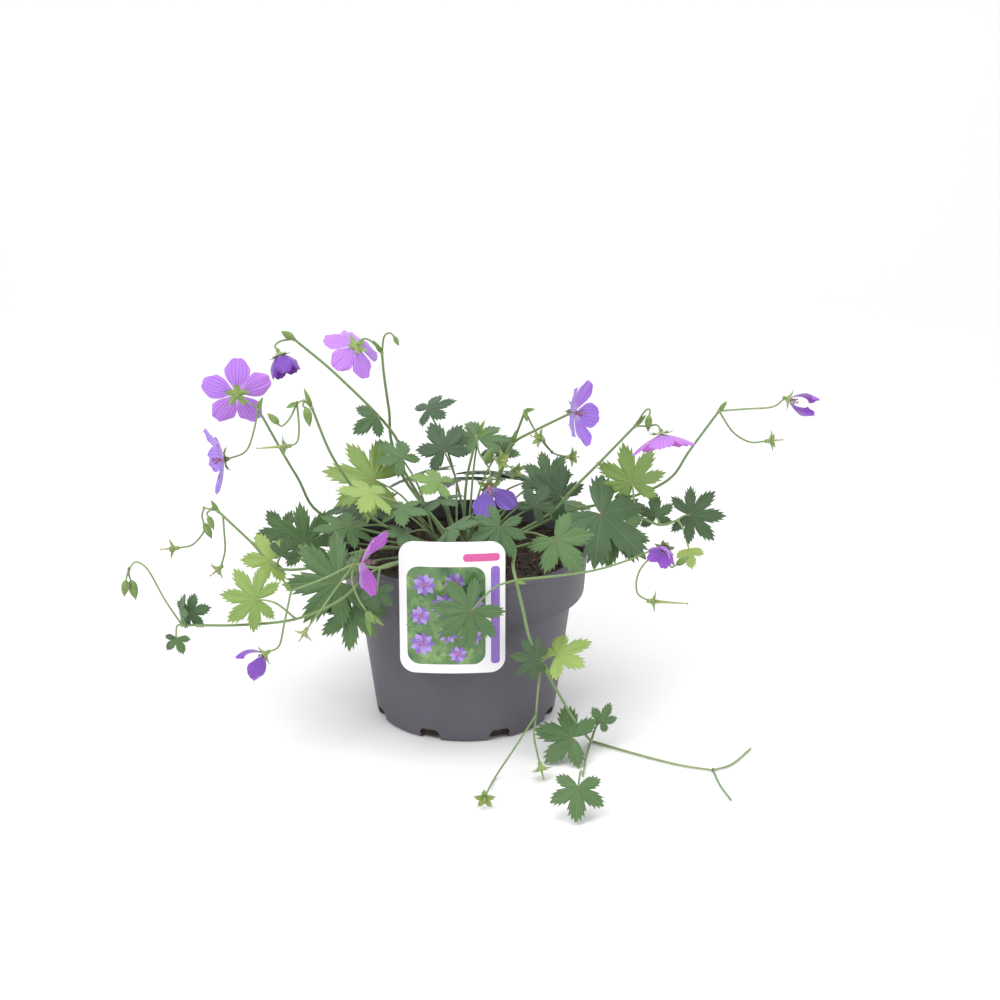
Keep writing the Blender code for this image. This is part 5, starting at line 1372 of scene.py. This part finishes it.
def soil_material():
    """Near-black brown peat."""
    surface = Surface("peat", 0.95)
    cloud = surface.noise(260.0, 8.0)
    colour = surface.ramp(cloud, [(0.3, (0.012, 0.008, 0.006)), (0.55, (0.035, 0.022, 0.014)),
                                  (0.8, (0.1, 0.065, 0.04))])
    surface.colour(colour)
    surface.bump(cloud, 0.8, 0.0012)
    return surface.material


def flat_material(name, colour, roughness=0.4, coat=0.0):
    """One plain colour."""
    surface = Surface(name, roughness, colour)
    surface.set("Coat Weight", coat)
    return surface.material


def foliage_print():
    """The blurred green field of the label's picture."""
    surface = Surface("print_field", 0.3)
    cloud = surface.noise(70.0, 4.0)
    colour = surface.ramp(cloud, [(0.3, (0.03, 0.09, 0.035)), (0.5, (0.09, 0.2, 0.06)),
                                  (0.7, (0.24, 0.38, 0.13))])
    surface.colour(colour)
    surface.set("Coat Weight", 0.3)
    return surface.material


def studio():
    """Pale floor, soft light from above and the left, and the camera."""
    skin = Skin()
    rows = [(-FLOOR_FAR, 0.0), (FLOOR_BEND_Y, 0.0)]
    for step in range(1, FLOOR_STEPS + 1):
        turn = math.pi / 2 * step / FLOOR_STEPS
        rows.append((FLOOR_BEND_Y + FLOOR_BEND_R * math.sin(turn), FLOOR_BEND_R * (1 - math.cos(turn))))
    rows.append((FLOOR_BEND_Y + FLOOR_BEND_R, FLOOR_FAR))
    points = [Vector((x, y, z)) for y, z in rows for x in (-FLOOR_FAR, FLOOR_FAR)]
    skin.add(points, [(2 * row, 2 * row + 1, 2 * row + 3, 2 * row + 2) for row in range(len(rows) - 1)], 0)
    floor = skin.make("floor", [flat_material("floor_pale", (0.93, 0.93, 0.93), 0.8)])
    bpy.context.scene.view_settings.view_transform = "Standard"
    world = bpy.context.scene.world or bpy.data.worlds.new("World")
    bpy.context.scene.world = world
    world.use_nodes = True
    world.node_tree.nodes["Background"].inputs[0].default_value = (1.0, 1.0, 1.0, 1)
    world.node_tree.nodes["Background"].inputs[1].default_value = WORLD_LIGHT
    for name, place, size, power, target in LAMPS:
        lamp = bpy.data.lights.new(name, "AREA")
        lamp.energy = power
        lamp.size = size
        holder = bpy.data.objects.new(name, lamp)
        bpy.context.scene.collection.objects.link(holder)
        holder.location = Vector(place)
        holder.rotation_euler = (Vector(target) - Vector(place)).to_track_quat("-Z", "Y").to_euler()
    camera = bpy.data.cameras.new("camera")
    camera.sensor_width = SENSOR
    camera.lens = SENSOR * VIEW_DISTANCE * PIXELS_PER_MM / 1000
    camera.clip_end = 20
    holder = bpy.data.objects.new("camera", camera)
    bpy.context.scene.collection.objects.link(holder)
    eye, _ = camera_ray(CENTRE_PIXEL, CENTRE_PIXEL)
    holder.location = eye * MM
    holder.rotation_euler = (math.pi / 2 - VIEW_TILT, 0, 0)
    bpy.context.scene.camera = holder


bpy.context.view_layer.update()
greens = [
    plain_green("stalk", [(0.0, (0.05, 0.085, 0.045)), (0.5, (0.16, 0.25, 0.085)), (1.0, (0.3, 0.36, 0.14))]),
    leaf_material(),
    plain_green("calyx", [(0.0, (0.07, 0.14, 0.03)), (0.5, (0.2, 0.31, 0.07)), (1.0, (0.4, 0.42, 0.15))],
                0.6),
    flat_material("hair", (0.62, 0.66, 0.52), 0.6),
    flat_material("style", (0.5, 0.1, 0.13), 0.5),
]
violets = [petal_material(), flat_material("column", (0.5, 0.42, 0.3), 0.5),
           flat_material("style_red", (0.55, 0.12, 0.3), 0.5),
           flat_material("anther", (0.12, 0.07, 0.2), 0.6)]
prints = [flat_material("card", (0.86, 0.84, 0.86), 0.3, 0.3), foliage_print()]
for ink, colour in (("print_pink", (0.62, 0.08, 0.3)), ("print_lilac", (0.24, 0.12, 0.5)),
                    ("print_leaf", (0.14, 0.27, 0.08)), ("print_pale", (0.42, 0.28, 0.72))):
    prints.append(flat_material(ink, colour, 0.3, 0.3))
make_pot(pot_material())
make_soil(soil_material(), flat_material("fibre", (0.3, 0.2, 0.11), 0.9))
make_label(prints)
for number, stem in enumerate(LEAFY_STEMS + LEAF_TUFTS):
    chance = random.Random(100 + number)
    fine_stem(stem, chance, greens)
    for bloom in stem.blooms:
        fine_bloom(bloom, chance, violets)
studio()
